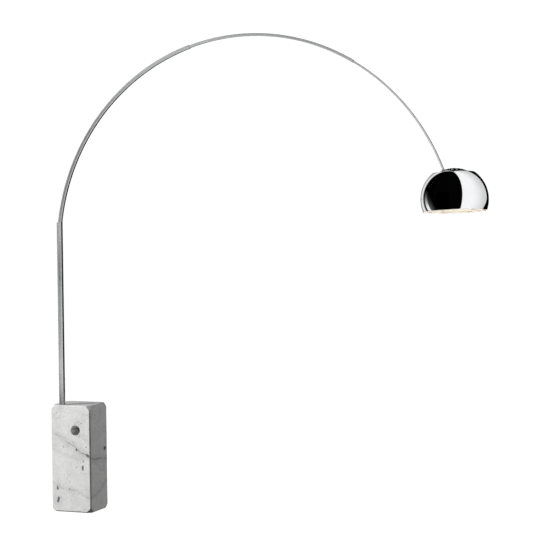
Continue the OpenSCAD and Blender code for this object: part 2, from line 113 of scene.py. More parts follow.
@dataclass(frozen=True)
class Finish:
    """A surface: what it is made of and how it was worked."""

    name: str
    colour: str
    roughness: float = 0.4
    metallic: float = 0.0
    ior: float = 1.5

    def material(self) -> bpy.types.Material:
        """Builds the material the first time, and hands out the same one afterwards.

        Returns:
            The material.
        """
        made = bpy.data.materials.get(self.name)
        if made:
            return made
        made = bpy.data.materials.new(self.name)
        made.use_nodes = True
        tree = made.node_tree
        shader = tree.nodes["Principled BSDF"]
        shader.inputs["Base Color"].default_value = linear(self.colour)
        shader.inputs["Roughness"].default_value = self.roughness
        shader.inputs["Metallic"].default_value = self.metallic
        if not self.metallic:
            shader.inputs["IOR"].default_value = self.ior
        self.work(tree, shader)
        return made

    def work(self, tree: bpy.types.NodeTree, shader: bpy.types.Node) -> None:
        """Adds the pattern that the working of the surface leaves; each finish has its own.

        Args:
            tree: The material's tree.
            shader: The shader that the pattern feeds.
        """
        raise NotImplementedError


@dataclass(frozen=True)
class Mottled(Finish):
    """A surface with a fine grain: moulded, cast, turned, plated or fired."""

    tone: str = "#000000"
    grain_mm: float = 1.0
    stretch: Point = (1.0, 1.0, 1.0)
    rough_swing: float = 0.05
    relief_mm: float = 0.01

    def work(self, tree: bpy.types.NodeTree, shader: bpy.types.Node) -> None:
        """Mixes two close colours, varies the roughness and raises a slight relief.

        Args:
            tree: The material's tree.
            shader: The shader that the pattern feeds.
        """
        place = put(tree, "ShaderNodeTexCoord").outputs["Object"]
        turned = put(tree, "ShaderNodeMapping", {"Vector": place, "Scale": self.stretch}).outputs[0]
        grain = put(tree, "ShaderNodeTexNoise", {"Vector": turned, "Scale": 1 / (self.grain_mm * MM), "Detail": 3.0})
        mixed = put(tree, "ShaderNodeMix", {0: grain.outputs[0], 6: linear(self.colour), 7: linear(self.tone)},
                    data_type="RGBA")
        rough = put(tree, "ShaderNodeMapRange", {"Value": grain.outputs[0], "From Min": 0.3, "From Max": 0.7,
                                                 "To Min": max(self.roughness - self.rough_swing, 0.0),
                                                 "To Max": self.roughness + self.rough_swing})
        bump = put(tree, "ShaderNodeBump", {"Height": grain.outputs[0], "Distance": self.relief_mm * MM,
                                            "Strength": 1.0})
        tree.links.new(mixed.outputs[2], shader.inputs["Base Color"])
        tree.links.new(rough.outputs[0], shader.inputs["Roughness"])
        tree.links.new(bump.outputs[0], shader.inputs["Normal"])


@dataclass(frozen=True)
class Glowing(Mottled):
    """Opal glass with the lamp lit softly behind it."""

    glow: str = "#FFE9C8"
    glow_strength: float = 1.0

    def work(self, tree: bpy.types.NodeTree, shader: bpy.types.Node) -> None:
        """Adds the glow to the glass's faint clouding.

        Args:
            tree: The material's tree.
            shader: The shader that the pattern feeds.
        """
        super().work(tree, shader)
        shader.inputs["Emission Color"].default_value = linear(self.glow)
        shader.inputs["Emission Strength"].default_value = self.glow_strength


@dataclass(frozen=True)
class Felted(Finish):
    """Pressed wool: short fibres in all directions, with a soft sheen at grazing angles."""

    tone: str = "#000000"
    fibre_mm: float = 1.2
    relief_mm: float = 0.15
    sheen: float = 0.4
    lays: tuple[Point, Point] = ((1.0, 5.0, 5.0), (5.0, 1.0, 3.0))

    def work(self, tree: bpy.types.NodeTree, shader: bpy.types.Node) -> None:
        """Crosses two fibre directions and raises them.

        Args:
            tree: The material's tree.
            shader: The shader that the pattern feeds.
        """
        place = put(tree, "ShaderNodeTexCoord").outputs["Object"]
        fibres = []
        for lay in self.lays:
            turned = put(tree, "ShaderNodeMapping", {"Vector": place, "Scale": lay}).outputs[0]
            fibres.append(put(tree, "ShaderNodeTexNoise", {"Vector": turned, "Scale": 1 / (self.fibre_mm * MM),
                                                           "Detail": 2.0, "Distortion": 1.0}).outputs[0])
        felt = put(tree, "ShaderNodeMath", {0: fibres[0], 1: fibres[1]}, operation="MAXIMUM").outputs[0]
        mixed = put(tree, "ShaderNodeMix", {0: felt, 6: linear(self.colour), 7: linear(self.tone)}, data_type="RGBA")
        bump = put(tree, "ShaderNodeBump", {"Height": felt, "Distance": self.relief_mm * MM})
        tree.links.new(mixed.outputs[2], shader.inputs["Base Color"])
        tree.links.new(bump.outputs[0], shader.inputs["Normal"])
        shader.inputs["Sheen Weight"].default_value = self.sheen
        shader.inputs["Sheen Roughness"].default_value = 0.6


class GrainRun(Enum):
    """Which way the brushing of the steel runs."""

    UPRIGHT = "upright"
    ALONG_ARC = "along arc"


@dataclass(frozen=True)
class BrushedSteel(Finish):
    """Stainless steel brushed with a belt, so that fine lines run along the section."""

    run: GrainRun = GrainRun.UPRIGHT
    centre: Point = (0.0, 0.0, 0.0)
    tone: str = "#8F9192"
    line_mm: float = 0.6
    line_length_mm: float = 60.0
    patch_mm: float = 45.0
    rough_swing: float = 0.05
    relief_mm: float = 0.0008

    def along(self, tree: bpy.types.NodeTree) -> bpy.types.NodeSocket:
        """Gives coordinates in metres with the run of the grain as their first axis.

        Args:
            tree: The material's tree.

        Returns:
            The vector's socket.
        """
        place = put(tree, "ShaderNodeTexCoord").outputs["Object"]
        axes = put(tree, "ShaderNodeSeparateXYZ", {0: place}).outputs
        if self.run is GrainRun.UPRIGHT:
            return put(tree, "ShaderNodeCombineXYZ", {0: axes[2], 1: axes[0], 2: axes[1]}).outputs[0]
        across = put(tree, "ShaderNodeMath", {0: axes[0], 1: self.centre[0] * MM}, operation="SUBTRACT").outputs[0]
        upward = put(tree, "ShaderNodeMath", {0: axes[2], 1: self.centre[2] * MM}, operation="SUBTRACT").outputs[0]
        turn = put(tree, "ShaderNodeMath", {0: upward, 1: across}, operation="ARCTAN2").outputs[0]
        flat = put(tree, "ShaderNodeCombineXYZ", {0: across, 1: upward, 2: 0.0}).outputs[0]
        radius = put(tree, "ShaderNodeVectorMath", {0: flat}, operation="LENGTH").outputs["Value"]
        return put(tree, "ShaderNodeCombineXYZ", {0: turn, 1: radius, 2: axes[1]}).outputs[0]

    def work(self, tree: bpy.types.NodeTree, shader: bpy.types.Node) -> None:
        """Draws the brushed lines, and broad soft patches where the belt pressed harder.

        Args:
            tree: The material's tree.
            shader: The shader that the pattern feeds.
        """
        place = self.along(tree)
        ratio = self.line_mm / self.line_length_mm
        lines = put(tree, "ShaderNodeTexNoise", {
            "Vector": put(tree, "ShaderNodeMapping", {"Vector": place, "Scale": (ratio, 1.0, 1.0)}).outputs[0],
            "Scale": 1 / (self.line_mm * MM), "Detail": 3.0, "Roughness": 0.6}).outputs[0]
        patches = put(tree, "ShaderNodeTexNoise", {"Vector": place, "Scale": 1 / (self.patch_mm * MM),
                                                   "Detail": 2.0}).outputs[0]
        mixed = put(tree, "ShaderNodeMix", {0: lines, 6: linear(self.colour), 7: linear(self.tone)},
                    data_type="RGBA")
        swing = put(tree, "ShaderNodeMath", {0: lines, 1: patches}, operation="ADD").outputs[0]
        rough = put(tree, "ShaderNodeMapRange", {"Value": swing, "From Min": 0.7, "From Max": 1.3,
                                                 "To Min": self.roughness - self.rough_swing,
                                                 "To Max": self.roughness + self.rough_swing})
        bump = put(tree, "ShaderNodeBump", {"Height": lines, "Distance": self.relief_mm * MM, "Strength": 1.0})
        tree.links.new(mixed.outputs[2], shader.inputs["Base Color"])
        tree.links.new(rough.outputs[0], shader.inputs["Roughness"])
        tree.links.new(bump.outputs[0], shader.inputs["Normal"])


@dataclass(frozen=True)
class Vein:
    """A sheet of grey mineral through the marble: a wavy plane."""

    through: Point
    facing: Point
    width_mm: float
    strength: float


@dataclass(frozen=True)
class Fleck:
    """A dark grain in the marble, an ellipsoid."""

    centre: Point
    radii: Point
    strength: float


@dataclass(frozen=True)
class CarraraMarble(Finish):
    """Honed white marble with grey clouds, a few veins and dark flecks."""

    cloud: str = "#C6C6C5"
    vein: str = "#54565A"
    veins: tuple[Vein, ...] = ()
    flecks: tuple[Fleck, ...] = ()
    # Length of each wave that bends the pattern, and how far it bends it
    waves_mm: tuple[tuple[float, float], ...] = ((120.0, 34.0), (26.0, 9.0), (6.0, 2.0))
    break_mm: float = 38.0
    # Width and strength of a vein's halo against its core's
    halo: tuple[float, float] = (7.0, 0.22)
    cloud_mm: float = 60.0
    web_mm: float = 100.0
    web_patch_mm: float = 90.0
    spot_mm: float = 15.0
    crystal_mm: float = 7.0
    rough_swing: float = 0.04
    pit_mm: float = 0.15

    def work(self, tree: bpy.types.NodeTree, shader: bpy.types.Node) -> None:
        """Layers clouds, a faint web, the main veins, flecks and the fine crystal grain.

        Args:
            tree: The material's tree.
            shader: The shader that the pattern feeds.
        """
        place = put(tree, "ShaderNodeTexCoord").outputs["Object"]
        bent = self.bend(tree, place)
        dark, pits = self.web(tree, bent), self.grains(tree, bent)
        for layer in (*self.seams(tree, place, bent), pits):
            dark = put(tree, "ShaderNodeMath", {0: dark, 1: layer}, operation="MAXIMUM").outputs[0]
        clouds = put(tree, "ShaderNodeTexNoise", {"Vector": bent, "Scale": 1 / (self.cloud_mm * MM), "Detail": 4.0,
                                                  "Roughness": 0.55}).outputs[0]
        crystal = put(tree, "ShaderNodeTexNoise", {"Vector": place, "Scale": 1 / (self.crystal_mm * MM),
                                                   "Detail": 2.0}).outputs[0]
        cloudy = put(tree, "ShaderNodeMapRange", {"Value": clouds, "From Min": 0.40, "From Max": 0.75,
                                                  "To Max": 0.7}).outputs[0]
        grainy = put(tree, "ShaderNodeMapRange", {"Value": crystal, "From Min": 0.45, "From Max": 0.72,
                                                  "To Max": 0.7}).outputs[0]
        fine = put(tree, "ShaderNodeMath", {0: cloudy, 1: grainy}, operation="MAXIMUM").outputs[0]
        ground = put(tree, "ShaderNodeMix", {0: fine, 6: linear(self.colour), 7: linear(self.cloud)},
                     data_type="RGBA").outputs[2]
        stone = put(tree, "ShaderNodeMix", {0: dark, 6: ground, 7: linear(self.vein)}, data_type="RGBA").outputs[2]
        rough = put(tree, "ShaderNodeMapRange", {"Value": crystal, "From Min": 0.3, "From Max": 0.7,
                                                 "To Min": self.roughness - self.rough_swing,
                                                 "To Max": self.roughness + self.rough_swing}).outputs[0]
        bump = put(tree, "ShaderNodeBump", {"Height": pits, "Distance": self.pit_mm * MM, "Strength": 0.6},
                   invert=True)
        tree.links.new(stone, shader.inputs["Base Color"])
        tree.links.new(rough, shader.inputs["Roughness"])
        tree.links.new(bump.outputs[0], shader.inputs["Normal"])

    def bend(self, tree: bpy.types.NodeTree, place: bpy.types.NodeSocket) -> bpy.types.NodeSocket:
        """Bends the coordinates with waves of several lengths, so that no vein is straight.

        Args:
            tree: The material's tree.
            place: The straight coordinates.

        Returns:
            The wavy coordinates.
        """
        bent = place
        for wave_mm, reach_mm in self.waves_mm:
            wave = put(tree, "ShaderNodeTexNoise", {"Vector": place, "Scale": 1 / (wave_mm * MM), "Detail": 2.0})
            centred = put(tree, "ShaderNodeVectorMath", {0: wave.outputs["Color"], 1: (0.5, 0.5, 0.5)},
                          operation="SUBTRACT").outputs[0]
            push = put(tree, "ShaderNodeVectorMath", {0: centred, "Scale": 2 * reach_mm * MM},
                       operation="SCALE").outputs[0]
            bent = put(tree, "ShaderNodeVectorMath", {0: bent, 1: push}, operation="ADD").outputs[0]
        return bent

    def seams(self, tree: bpy.types.NodeTree, place: bpy.types.NodeSocket,
              bent: bpy.types.NodeSocket) -> list[bpy.types.NodeSocket]:
        """Makes the main veins: a broken dark core in a wide faint halo.

        Args:
            tree: The material's tree.
            place: The straight coordinates.
            bent: The wavy coordinates.

        Returns:
            How dark each vein makes each point.
        """
        breaks = put(tree, "ShaderNodeMapRange", {
            "Value": put(tree, "ShaderNodeTexNoise", {"Vector": place, "Scale": 1 / (self.break_mm * MM),
                                                      "Detail": 4.0}).outputs[0],
            "From Min": 0.36, "From Max": 0.62, "To Min": 0.25, "To Max": 1.0}).outputs[0]
        wider, fainter = self.halo
        made = []
        for vein in self.veins:
            apart = put(tree, "ShaderNodeVectorMath", {0: bent, 1: Vector(vein.through) * MM},
                        operation="SUBTRACT").outputs[0]
            off = put(tree, "ShaderNodeVectorMath", {0: apart, 1: Vector(vein.facing).normalized()},
                      operation="DOT_PRODUCT").outputs["Value"]
            off = put(tree, "ShaderNodeMath", {0: off}, operation="ABSOLUTE").outputs[0]
            core = put(tree, "ShaderNodeMapRange", {"Value": off, "From Min": 0.0, "From Max": vein.width_mm * MM,
                                                    "To Min": vein.strength, "To Max": 0.0},
                       interpolation_type="SMOOTHSTEP").outputs[0]
            halo = put(tree, "ShaderNodeMapRange", {"Value": off, "From Min": 0.0,
                                                    "From Max": wider * vein.width_mm * MM,
                                                    "To Min": fainter * vein.strength, "To Max": 0.0}).outputs[0]
            core = put(tree, "ShaderNodeMath", {0: core, 1: breaks}, operation="MULTIPLY").outputs[0]
            made.append(put(tree, "ShaderNodeMath", {0: core, 1: halo}, operation="MAXIMUM").outputs[0])
        return made

    def web(self, tree: bpy.types.NodeTree, bent: bpy.types.NodeSocket) -> bpy.types.NodeSocket:
        """Makes the net of faint hair veins.

        Args:
            tree: The material's tree.
            bent: The wavy coordinates.

        Returns:
            How dark the web makes each point.
        """
        field = put(tree, "ShaderNodeTexNoise", {"Vector": bent, "Scale": 1 / (self.web_mm * MM),
                                                 "Detail": 3.0}).outputs[0]
        off = put(tree, "ShaderNodeMath", {0: field, 1: 0.5}, operation="SUBTRACT").outputs[0]
        off = put(tree, "ShaderNodeMath", {0: off}, operation="ABSOLUTE").outputs[0]
        hair = put(tree, "ShaderNodeMapRange", {"Value": off, "From Min": 0.0, "From Max": 0.014,
                                                "To Min": 0.34, "To Max": 0.0}).outputs[0]
        where = put(tree, "ShaderNodeTexNoise", {"Vector": bent, "Scale": 1 / (self.web_patch_mm * MM),
                                                 "Detail": 1.0}).outputs[0]
        where = put(tree, "ShaderNodeMapRange", {"Value": where, "From Min": 0.48, "From Max": 0.60}).outputs[0]
        return put(tree, "ShaderNodeMath", {0: hair, 1: where}, operation="MULTIPLY").outputs[0]

    def grains(self, tree: bpy.types.NodeTree, bent: bpy.types.NodeSocket) -> bpy.types.NodeSocket:
        """Makes scattered specks and the larger flecks.

        Args:
            tree: The material's tree.
            bent: The wavy coordinates.

        Returns:
            How dark the grains make each point.
        """
        cells = put(tree, "ShaderNodeTexVoronoi", {"Vector": bent, "Scale": 1 / (self.spot_mm * MM),
                                                   "Randomness": 1.0})
        size = put(tree, "ShaderNodeMapRange", {
            "Value": put(tree, "ShaderNodeSeparateXYZ", {0: cells.outputs["Color"]}).outputs[0],
            "From Min": 0.80, "From Max": 1.0, "To Min": 0.0, "To Max": 0.26}).outputs[0]
        near = put(tree, "ShaderNodeMath", {0: size, 1: cells.outputs["Distance"]}, operation="SUBTRACT").outputs[0]
        dark = put(tree, "ShaderNodeMapRange", {"Value": near, "From Min": 0.0, "From Max": 0.06,
                                                "To Min": 0.0, "To Max": 0.75}).outputs[0]
        for fleck in self.flecks:
            apart = put(tree, "ShaderNodeVectorMath", {0: bent, 1: Vector(fleck.centre) * MM},
                        operation="SUBTRACT").outputs[0]
            shape = put(tree, "ShaderNodeVectorMath", {0: apart, 1: Vector(fleck.radii) * MM},
                        operation="DIVIDE").outputs[0]
            reach = put(tree, "ShaderNodeVectorMath", {0: shape}, operation="LENGTH").outputs["Value"]
            spot = put(tree, "ShaderNodeMapRange", {"Value": reach, "From Min": 0.6, "From Max": 1.5,
                                                    "To Min": fleck.strength, "To Max": 0.0},
                       interpolation_type="SMOOTHSTEP").outputs[0]
            dark = put(tree, "ShaderNodeMath", {0: dark, 1: spot}, operation="MAXIMUM").outputs[0]
        return dark


# ---------------------------------------------------------------- meshes


def soften(outline: Sequence[tuple[float, float]], radius: float, steps: int = 3,
           keep: Iterable[int] = ()) -> Outline:
    """Rounds the corners of a closed outline.

    Args:
        outline: The corner points in order.
        radius: How far each rounding reaches along its two edges.
        steps: Segments in each rounding.
        keep: Numbers of the corners that stay sharp.

    Returns:
        The rounded outline.
    """
    made: Outline = []
    kept = set(keep)
    for i, corner in enumerate(outline):
        here = Vector(corner)
        before, after = Vector(outline[i - 1]), Vector(outline[(i + 1) % len(outline)])
        if i in kept:
            made.append(tuple(here))
            continue
        reach = min(radius, 0.45 * (before - here).length, 0.45 * (after - here).length)
        a = here + (before - here).normalized() * reach
        b = here + (after - here).normalized() * reach
        for s in range(steps + 1):
            t = s / steps
            made.append(tuple(a * (1 - t) ** 2 + here * (2 * t * (1 - t)) + b * t**2))
    return made


def lathe(outline: Sequence[tuple[float, float]], segments: int, closed: bool = True, lobes: int = 0,
          lobe_depth: float = 0.0) -> tuple[list[Point], Faces]:
    """Turns an outline of radius and height about the vertical axis.

    Args:
        outline: Points of radius and height; a radius of nought is a pole.
        segments: Steps round the axis.
        closed: Whether the last point joins the first, as round the wall of a ring.
        lobes: Number of ribs round the piece, or none.
        lobe_depth: Depth of the ribs at the largest radius.

    Returns:
        Corners in millimetres, and faces.
    """
    points: list[Point] = []
    rings: list[list[int]] = []
    widest = max(r for r, _ in outline)
    for r, z in outline:
        if r < 1e-6:
            rings.append([len(points)] * segments)
            points.append((0.0, 0.0, z))
            continue
        rings.append(list(range(len(points), len(points) + segments)))
        for k in range(segments):
            turn = 2 * math.pi * k / segments
            rib = lobe_depth * max(0.0, math.cos(lobes * turn)) if lobes and r > 0.97 * widest else 0.0
            points.append(((r - rib) * math.cos(turn), (r - rib) * math.sin(turn), z))
    faces: Faces = []
    pairs = list(zip(rings, rings[1:])) + ([(rings[-1], rings[0])] if closed else [])
    for low, high in pairs:
        for k in range(segments):
            n = (k + 1) % segments
            corners = [low[k], low[n], high[n], high[k]]
            face = tuple(dict.fromkeys(corners))
            if len(face) > 2:
                faces.append(face)
    return points, faces


def build(name: str, points: Sequence[Point], faces: Faces, place: Matrix | None = None,
          smooth_deg: float = 35.0) -> bpy.types.Object:
    """Makes an object from corners in millimetres, with its place in its mesh.

    Args:
        name: The object's name.
        points: Corners in millimetres.
        faces: Corner numbers of each face.
        place: Where the piece goes, in metres, or None to leave it.
        smooth_deg: Edges sharper than this stay sharp.

    Returns:
        The object.
    """
    mesh = bpy.data.meshes.new(name)
    mesh.from_pydata([tuple(c * MM for c in p) for p in points], [], faces)
    if place:
        mesh.transform(place)
    shell = bmesh.new()
    shell.from_mesh(mesh)
    bmesh.ops.remove_doubles(shell, verts=shell.verts, dist=1e-7)
    bmesh.ops.recalc_face_normals(shell, faces=shell.faces)
    shell.to_mesh(mesh)
    shell.free()
    made = bpy.data.objects.new(name, mesh)
    bpy.context.scene.collection.objects.link(made)
    shade(made, smooth_deg)
    return made


def shade(obj: bpy.types.Object, smooth_deg: float) -> None:
    """Shades a piece smooth, with sharp edges above an angle in degrees."""
    obj.data.shade_smooth()
    obj.data.set_sharp_from_angle(angle=math.radians(smooth_deg))


def settle(obj: bpy.types.Object) -> None:
    """Turns a piece with modifiers into a plain mesh and removes them.

    Args:
        obj: The piece.
    """
    graph = bpy.context.evaluated_depsgraph_get()
    graph.update()
    mesh = bpy.data.meshes.new_from_object(obj.evaluated_get(graph), depsgraph=graph)
    obj.modifiers.clear()
    obj.data = mesh


def drill(obj: bpy.types.Object, cutters: Sequence[bpy.types.Object]) -> None:
    """Takes closed solids out of a piece, and removes them afterwards.

    Args:
        obj: The piece.
        cutters: The solids.
    """
    for cutter in cutters:
        bite = obj.modifiers.new(cutter.name, "BOOLEAN")
        bite.operation, bite.solver, bite.object = "DIFFERENCE", "EXACT", cutter
    settle(obj)
    for cutter in cutters:
        bpy.data.objects.remove(cutter)


class Recipe:
    """A geometry node tree with named inputs, run once on a mesh and then taken off it."""

    def __init__(self, name: str) -> None:
        """Starts the tree with its geometry and finish.

        Args:
            name: The tree's name.
        """
        self.tree = bpy.data.node_groups.new(name, "GeometryNodeTree")
        self.tree.interface.new_socket(name="Geometry", in_out="OUTPUT", socket_type="NodeSocketGeometry")
        self.entry = put(self.tree, "NodeGroupInput")
        self.keys: dict[str, str] = {}
        self.size("Geometry", "NodeSocketGeometry")
        self.size("Finish", "NodeSocketMaterial")

    def size(self, name: str, kind: str = "NodeSocketFloat") -> bpy.types.NodeSocket:
        """Adds a named input.

        Args:
            name: The input's name.
            kind: The socket's type.

        Returns:
            The socket that gives it inside the tree.
        """
        self.keys[name] = self.tree.interface.new_socket(name=name, in_out="INPUT", socket_type=kind).identifier
        return self.entry.outputs[name]

    def end(self, geometry: bpy.types.NodeSocket) -> None:
        """Ends the tree: instances made real, and the finish set.

        Args:
            geometry: What the tree has made.
        """
        real = put(self.tree, "GeometryNodeRealizeInstances", {0: geometry}).outputs[0]
        done = put(self.tree, "GeometryNodeSetMaterial", {"Geometry": real,
                                                          "Material": self.entry.outputs["Finish"]}).outputs[0]
        put(self.tree, "NodeGroupOutput", {0: done})

    def run(self, obj: bpy.types.Object, **values: Any) -> None:
        """Runs the tree on an object and leaves the result as its plain mesh.

        Args:
            obj: The object whose mesh goes in.
            **values: Values of the named inputs, with _ for a space.
        """
        modifier = obj.modifiers.new(self.tree.name, "NODES")
        modifier.node_group = self.tree
        for name, value in values.items():
            modifier[self.keys[name.replace("_", " ")]] = value
        settle(obj)


def sweep_recipe() -> Recipe:
    """Draws an outline along an arc in the upright plane.

    Returns:
        The recipe; its inputs are Centre, Radius, From, Sweep and Steps.
    """
    recipe = Recipe("draw_along_arc")
    tree = recipe.tree
    centre = recipe.size("Centre", "NodeSocketVector")
    path = put(tree, "GeometryNodeCurveArc", {
        "Resolution": recipe.size("Steps", "NodeSocketInt"), "Radius": recipe.size("Radius"),
        "Start Angle": recipe.size("From"), "Sweep Angle": recipe.size("Sweep")}, mode="RADIUS").outputs["Curve"]
    outline = put(tree, "GeometryNodeMeshToCurve", {"Mesh": recipe.entry.outputs["Geometry"]}).outputs["Curve"]
    swept = put(tree, "GeometryNodeCurveToMesh", {"Curve": path, "Profile Curve": outline,
                                                  "Fill Caps": True}).outputs["Mesh"]
    upright = put(tree, "GeometryNodeTransform", {"Geometry": swept, "Translation": centre,
                                                  "Rotation": (math.pi / 2, 0.0, 0.0)}).outputs[0]
    recipe.end(upright)
    return recipe


def perforate_recipe() -> Recipe:
    """Cuts rings of round holes through a dome, square to its surface, except where the neck stands.

    Returns:
        The recipe; its inputs are Dome radius, Pitch, Hole radius, Centre, Neck at, Neck room and Holes.
    """
    recipe = Recipe("punch_vents")
    tree = recipe.tree
    dome_r, pitch, hole_r = recipe.size("Dome radius"), recipe.size("Pitch"), recipe.size("Hole radius")
    centre, neck_at = recipe.size("Centre", "NodeSocketVector"), recipe.size("Neck at", "NodeSocketVector")
    room, count = recipe.size("Neck room"), recipe.size("Holes", "NodeSocketInt")
    number = put(tree, "GeometryNodeInputIndex").outputs[0]
    # Ring k starts at hole 1 + 3k(k - 1), so k comes from the root of that
    root = put(tree, "ShaderNodeMath", {0: number, 1: 12.0, 2: 9.0}, operation="MULTIPLY_ADD").outputs[0]
    root = put(tree, "ShaderNodeMath", {0: root, 1: 0.5}, operation="POWER").outputs[0]
    ring = put(tree, "ShaderNodeMath", {0: root, 1: 1 / 6, 2: -0.5001}, operation="MULTIPLY_ADD").outputs[0]
    ring = put(tree, "ShaderNodeMath", {0: ring}, operation="CEIL").outputs[0]
    less = put(tree, "ShaderNodeMath", {0: ring, 1: 1.0}, operation="SUBTRACT").outputs[0]
    first = put(tree, "ShaderNodeMath", {0: ring, 1: less}, operation="MULTIPLY").outputs[0]
    first = put(tree, "ShaderNodeMath", {0: first, 1: 3.0, 2: 1.0}, operation="MULTIPLY_ADD").outputs[0]
    step = put(tree, "ShaderNodeMath", {0: number, 1: first}, operation="SUBTRACT").outputs[0]
    in_ring = put(tree, "ShaderNodeMath", {0: ring, 1: 6.0}, operation="MULTIPLY").outputs[0]
    turn = put(tree, "ShaderNodeMath", {0: step, 1: in_ring}, operation="DIVIDE").outputs[0]
    turn = put(tree, "ShaderNodeMath", {0: turn, 1: math.tau}, operation="MULTIPLY").outputs[0]
    reach = put(tree, "ShaderNodeMath", {0: ring, 1: pitch}, operation="MULTIPLY").outputs[0]
    flat = [put(tree, "ShaderNodeMath", {0: put(tree, "ShaderNodeMath", {0: turn}, operation=way).outputs[0],
                                         1: reach}, operation="MULTIPLY").outputs[0] for way in ("COSINE", "SINE")]
    square = put(tree, "ShaderNodeMath", {0: reach, 1: 2.0}, operation="POWER").outputs[0]
    whole = put(tree, "ShaderNodeMath", {0: dome_r, 1: 2.0}, operation="POWER").outputs[0]
    height = put(tree, "ShaderNodeMath", {0: whole, 1: square}, operation="SUBTRACT").outputs[0]
    height = put(tree, "ShaderNodeMath", {0: height, 1: 0.5}, operation="POWER").outputs[0]
    spot = put(tree, "ShaderNodeCombineXYZ", {0: flat[0], 1: flat[1], 2: height}).outputs[0]
    level = put(tree, "ShaderNodeCombineXYZ", {0: flat[0], 1: flat[1], 2: 0.0}).outputs[0]
    away = put(tree, "ShaderNodeVectorMath", {0: level, 1: neck_at}, operation="DISTANCE").outputs["Value"]
    clear = put(tree, "FunctionNodeCompare", {0: away, 1: room}, data_type="FLOAT", operation="LESS_EQUAL").outputs[0]
    points = put(tree, "GeometryNodePoints", {"Count": count, "Position": spot}).outputs[0]
    points = put(tree, "GeometryNodeDeleteGeometry", {"Geometry": points, "Selection": clear},
                 domain="POINT").outputs[0]
    punch = put(tree, "GeometryNodeMeshCylinder", {"Vertices": 40, "Radius": hole_r, "Depth": 0.02}).outputs["Mesh"]
    outward = put(tree, "FunctionNodeAlignRotationToVector", {
        "Vector": put(tree, "GeometryNodeInputPosition").outputs[0]}, axis="Z").outputs[0]
    punches = put(tree, "GeometryNodeInstanceOnPoints", {"Points": points, "Instance": punch,
                                                         "Rotation": outward}).outputs[0]
    punches = put(tree, "GeometryNodeRealizeInstances", {0: punches}).outputs[0]
    punches = put(tree, "GeometryNodeTransform", {"Geometry": punches, "Translation": centre}).outputs[0]
    cut = put(tree, "GeometryNodeMeshBoolean", {"Mesh 1": recipe.entry.outputs["Geometry"], "Mesh 2": punches},
              operation="DIFFERENCE", solver="EXACT").outputs["Mesh"]
    recipe.end(cut)
    return recipe


def set_out_recipe() -> Recipe:
    """Sets a pattern piece out at every point of a mesh, turned, and scaled by the point's own size.

    Returns:
        The recipe; its inputs are Pattern and Turn.
    """
    recipe = Recipe("set_out")
    tree = recipe.tree
    pattern = put(tree, "GeometryNodeObjectInfo", {"Object": recipe.size("Pattern", "NodeSocketObject")},
                  transform_space="ORIGINAL").outputs["Geometry"]
    turn = put(tree, "FunctionNodeEulerToRotation", {0: recipe.size("Turn", "NodeSocketVector")}).outputs[0]
    size = put(tree, "GeometryNodeInputNamedAttribute", {"Name": "size"}, data_type="FLOAT").outputs[0]
    made = put(tree, "GeometryNodeInstanceOnPoints", {
        "Points": recipe.entry.outputs["Geometry"], "Instance": pattern, "Rotation": turn, "Scale": size}).outputs[0]
    recipe.end(made)
    return recipe


def set_out(name: str, pattern: bpy.types.Object, spots: Sequence[Point], sizes: Sequence[float], turn: Point,
            finish: Finish, recipe: Recipe) -> bpy.types.Object:
    """Puts copies of a pattern piece at several spots as one plain mesh.

    Args:
        name: The new object's name.
        pattern: The piece that is repeated; it is removed afterwards.
        spots: Places in millimetres.
        sizes: Scale of each copy.
        turn: Turn of every copy, in radians.
        finish: What the copies are made of.
        recipe: The recipe that sets them out.

    Returns:
        The new object.
    """
    mesh = bpy.data.meshes.new(name)
    mesh.from_pydata([tuple(c * MM for c in p) for p in spots], [], [])
    mesh.attributes.new("size", "FLOAT", "POINT").data.foreach_set("value", list(sizes))
    made = bpy.data.objects.new(name, mesh)
    bpy.context.scene.collection.objects.link(made)
    recipe.run(made, Pattern=pattern, Turn=turn, Finish=finish.material())
    bpy.data.objects.remove(pattern)
    return made


def dress(obj: bpy.types.Object, finish: Finish, body: str, node: str) -> None:
    """Gives a piece its finish and body, and checks it against the node it stands for, which it then hides.

    Args:
        obj: The piece.
        finish: What it is made of, unless it is lined and has two finishes already.
        body: The body it rides on.
        node: The node that it replaces.
    """
    if len(obj.data.materials) < 2:
        obj.data.materials.clear()
        obj.data.materials.append(finish.material())
    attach(obj, body)
    places = [v.co for v in obj.data.vertices]
    have = [[pick(p[i] for p in places) for i in range(3)] for pick in (min, max)]
    miss = max(abs(a - b) for mine, its in zip(have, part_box(node)) for a, b in zip(mine, its)) / MM
    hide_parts(node)
    (log.warning if miss > FIT_LIMIT else log.info)("%s: %d faces, %.2f mm from %s", obj.name,
                                                    len(obj.data.polygons), miss, node)


def line(obj: bpy.types.Object, outside: Finish, inside: Finish, within: Callable[[Vector, Vector], bool]) -> None:
    """Gives a hollow piece one finish outside and another inside.

    Args:
        obj: The piece.
        outside: The finish of its outer faces.
        inside: The finish of its inner faces.
        within: Tells from a face's middle and its normal whether it is an inner one.
    """
    obj.data.materials.clear()
    for finish in (outside, inside):
        obj.data.materials.append(finish.material())
    faces = obj.data.polygons
    faces.foreach_set("material_index", [int(within(f.center, f.normal)) for f in faces])


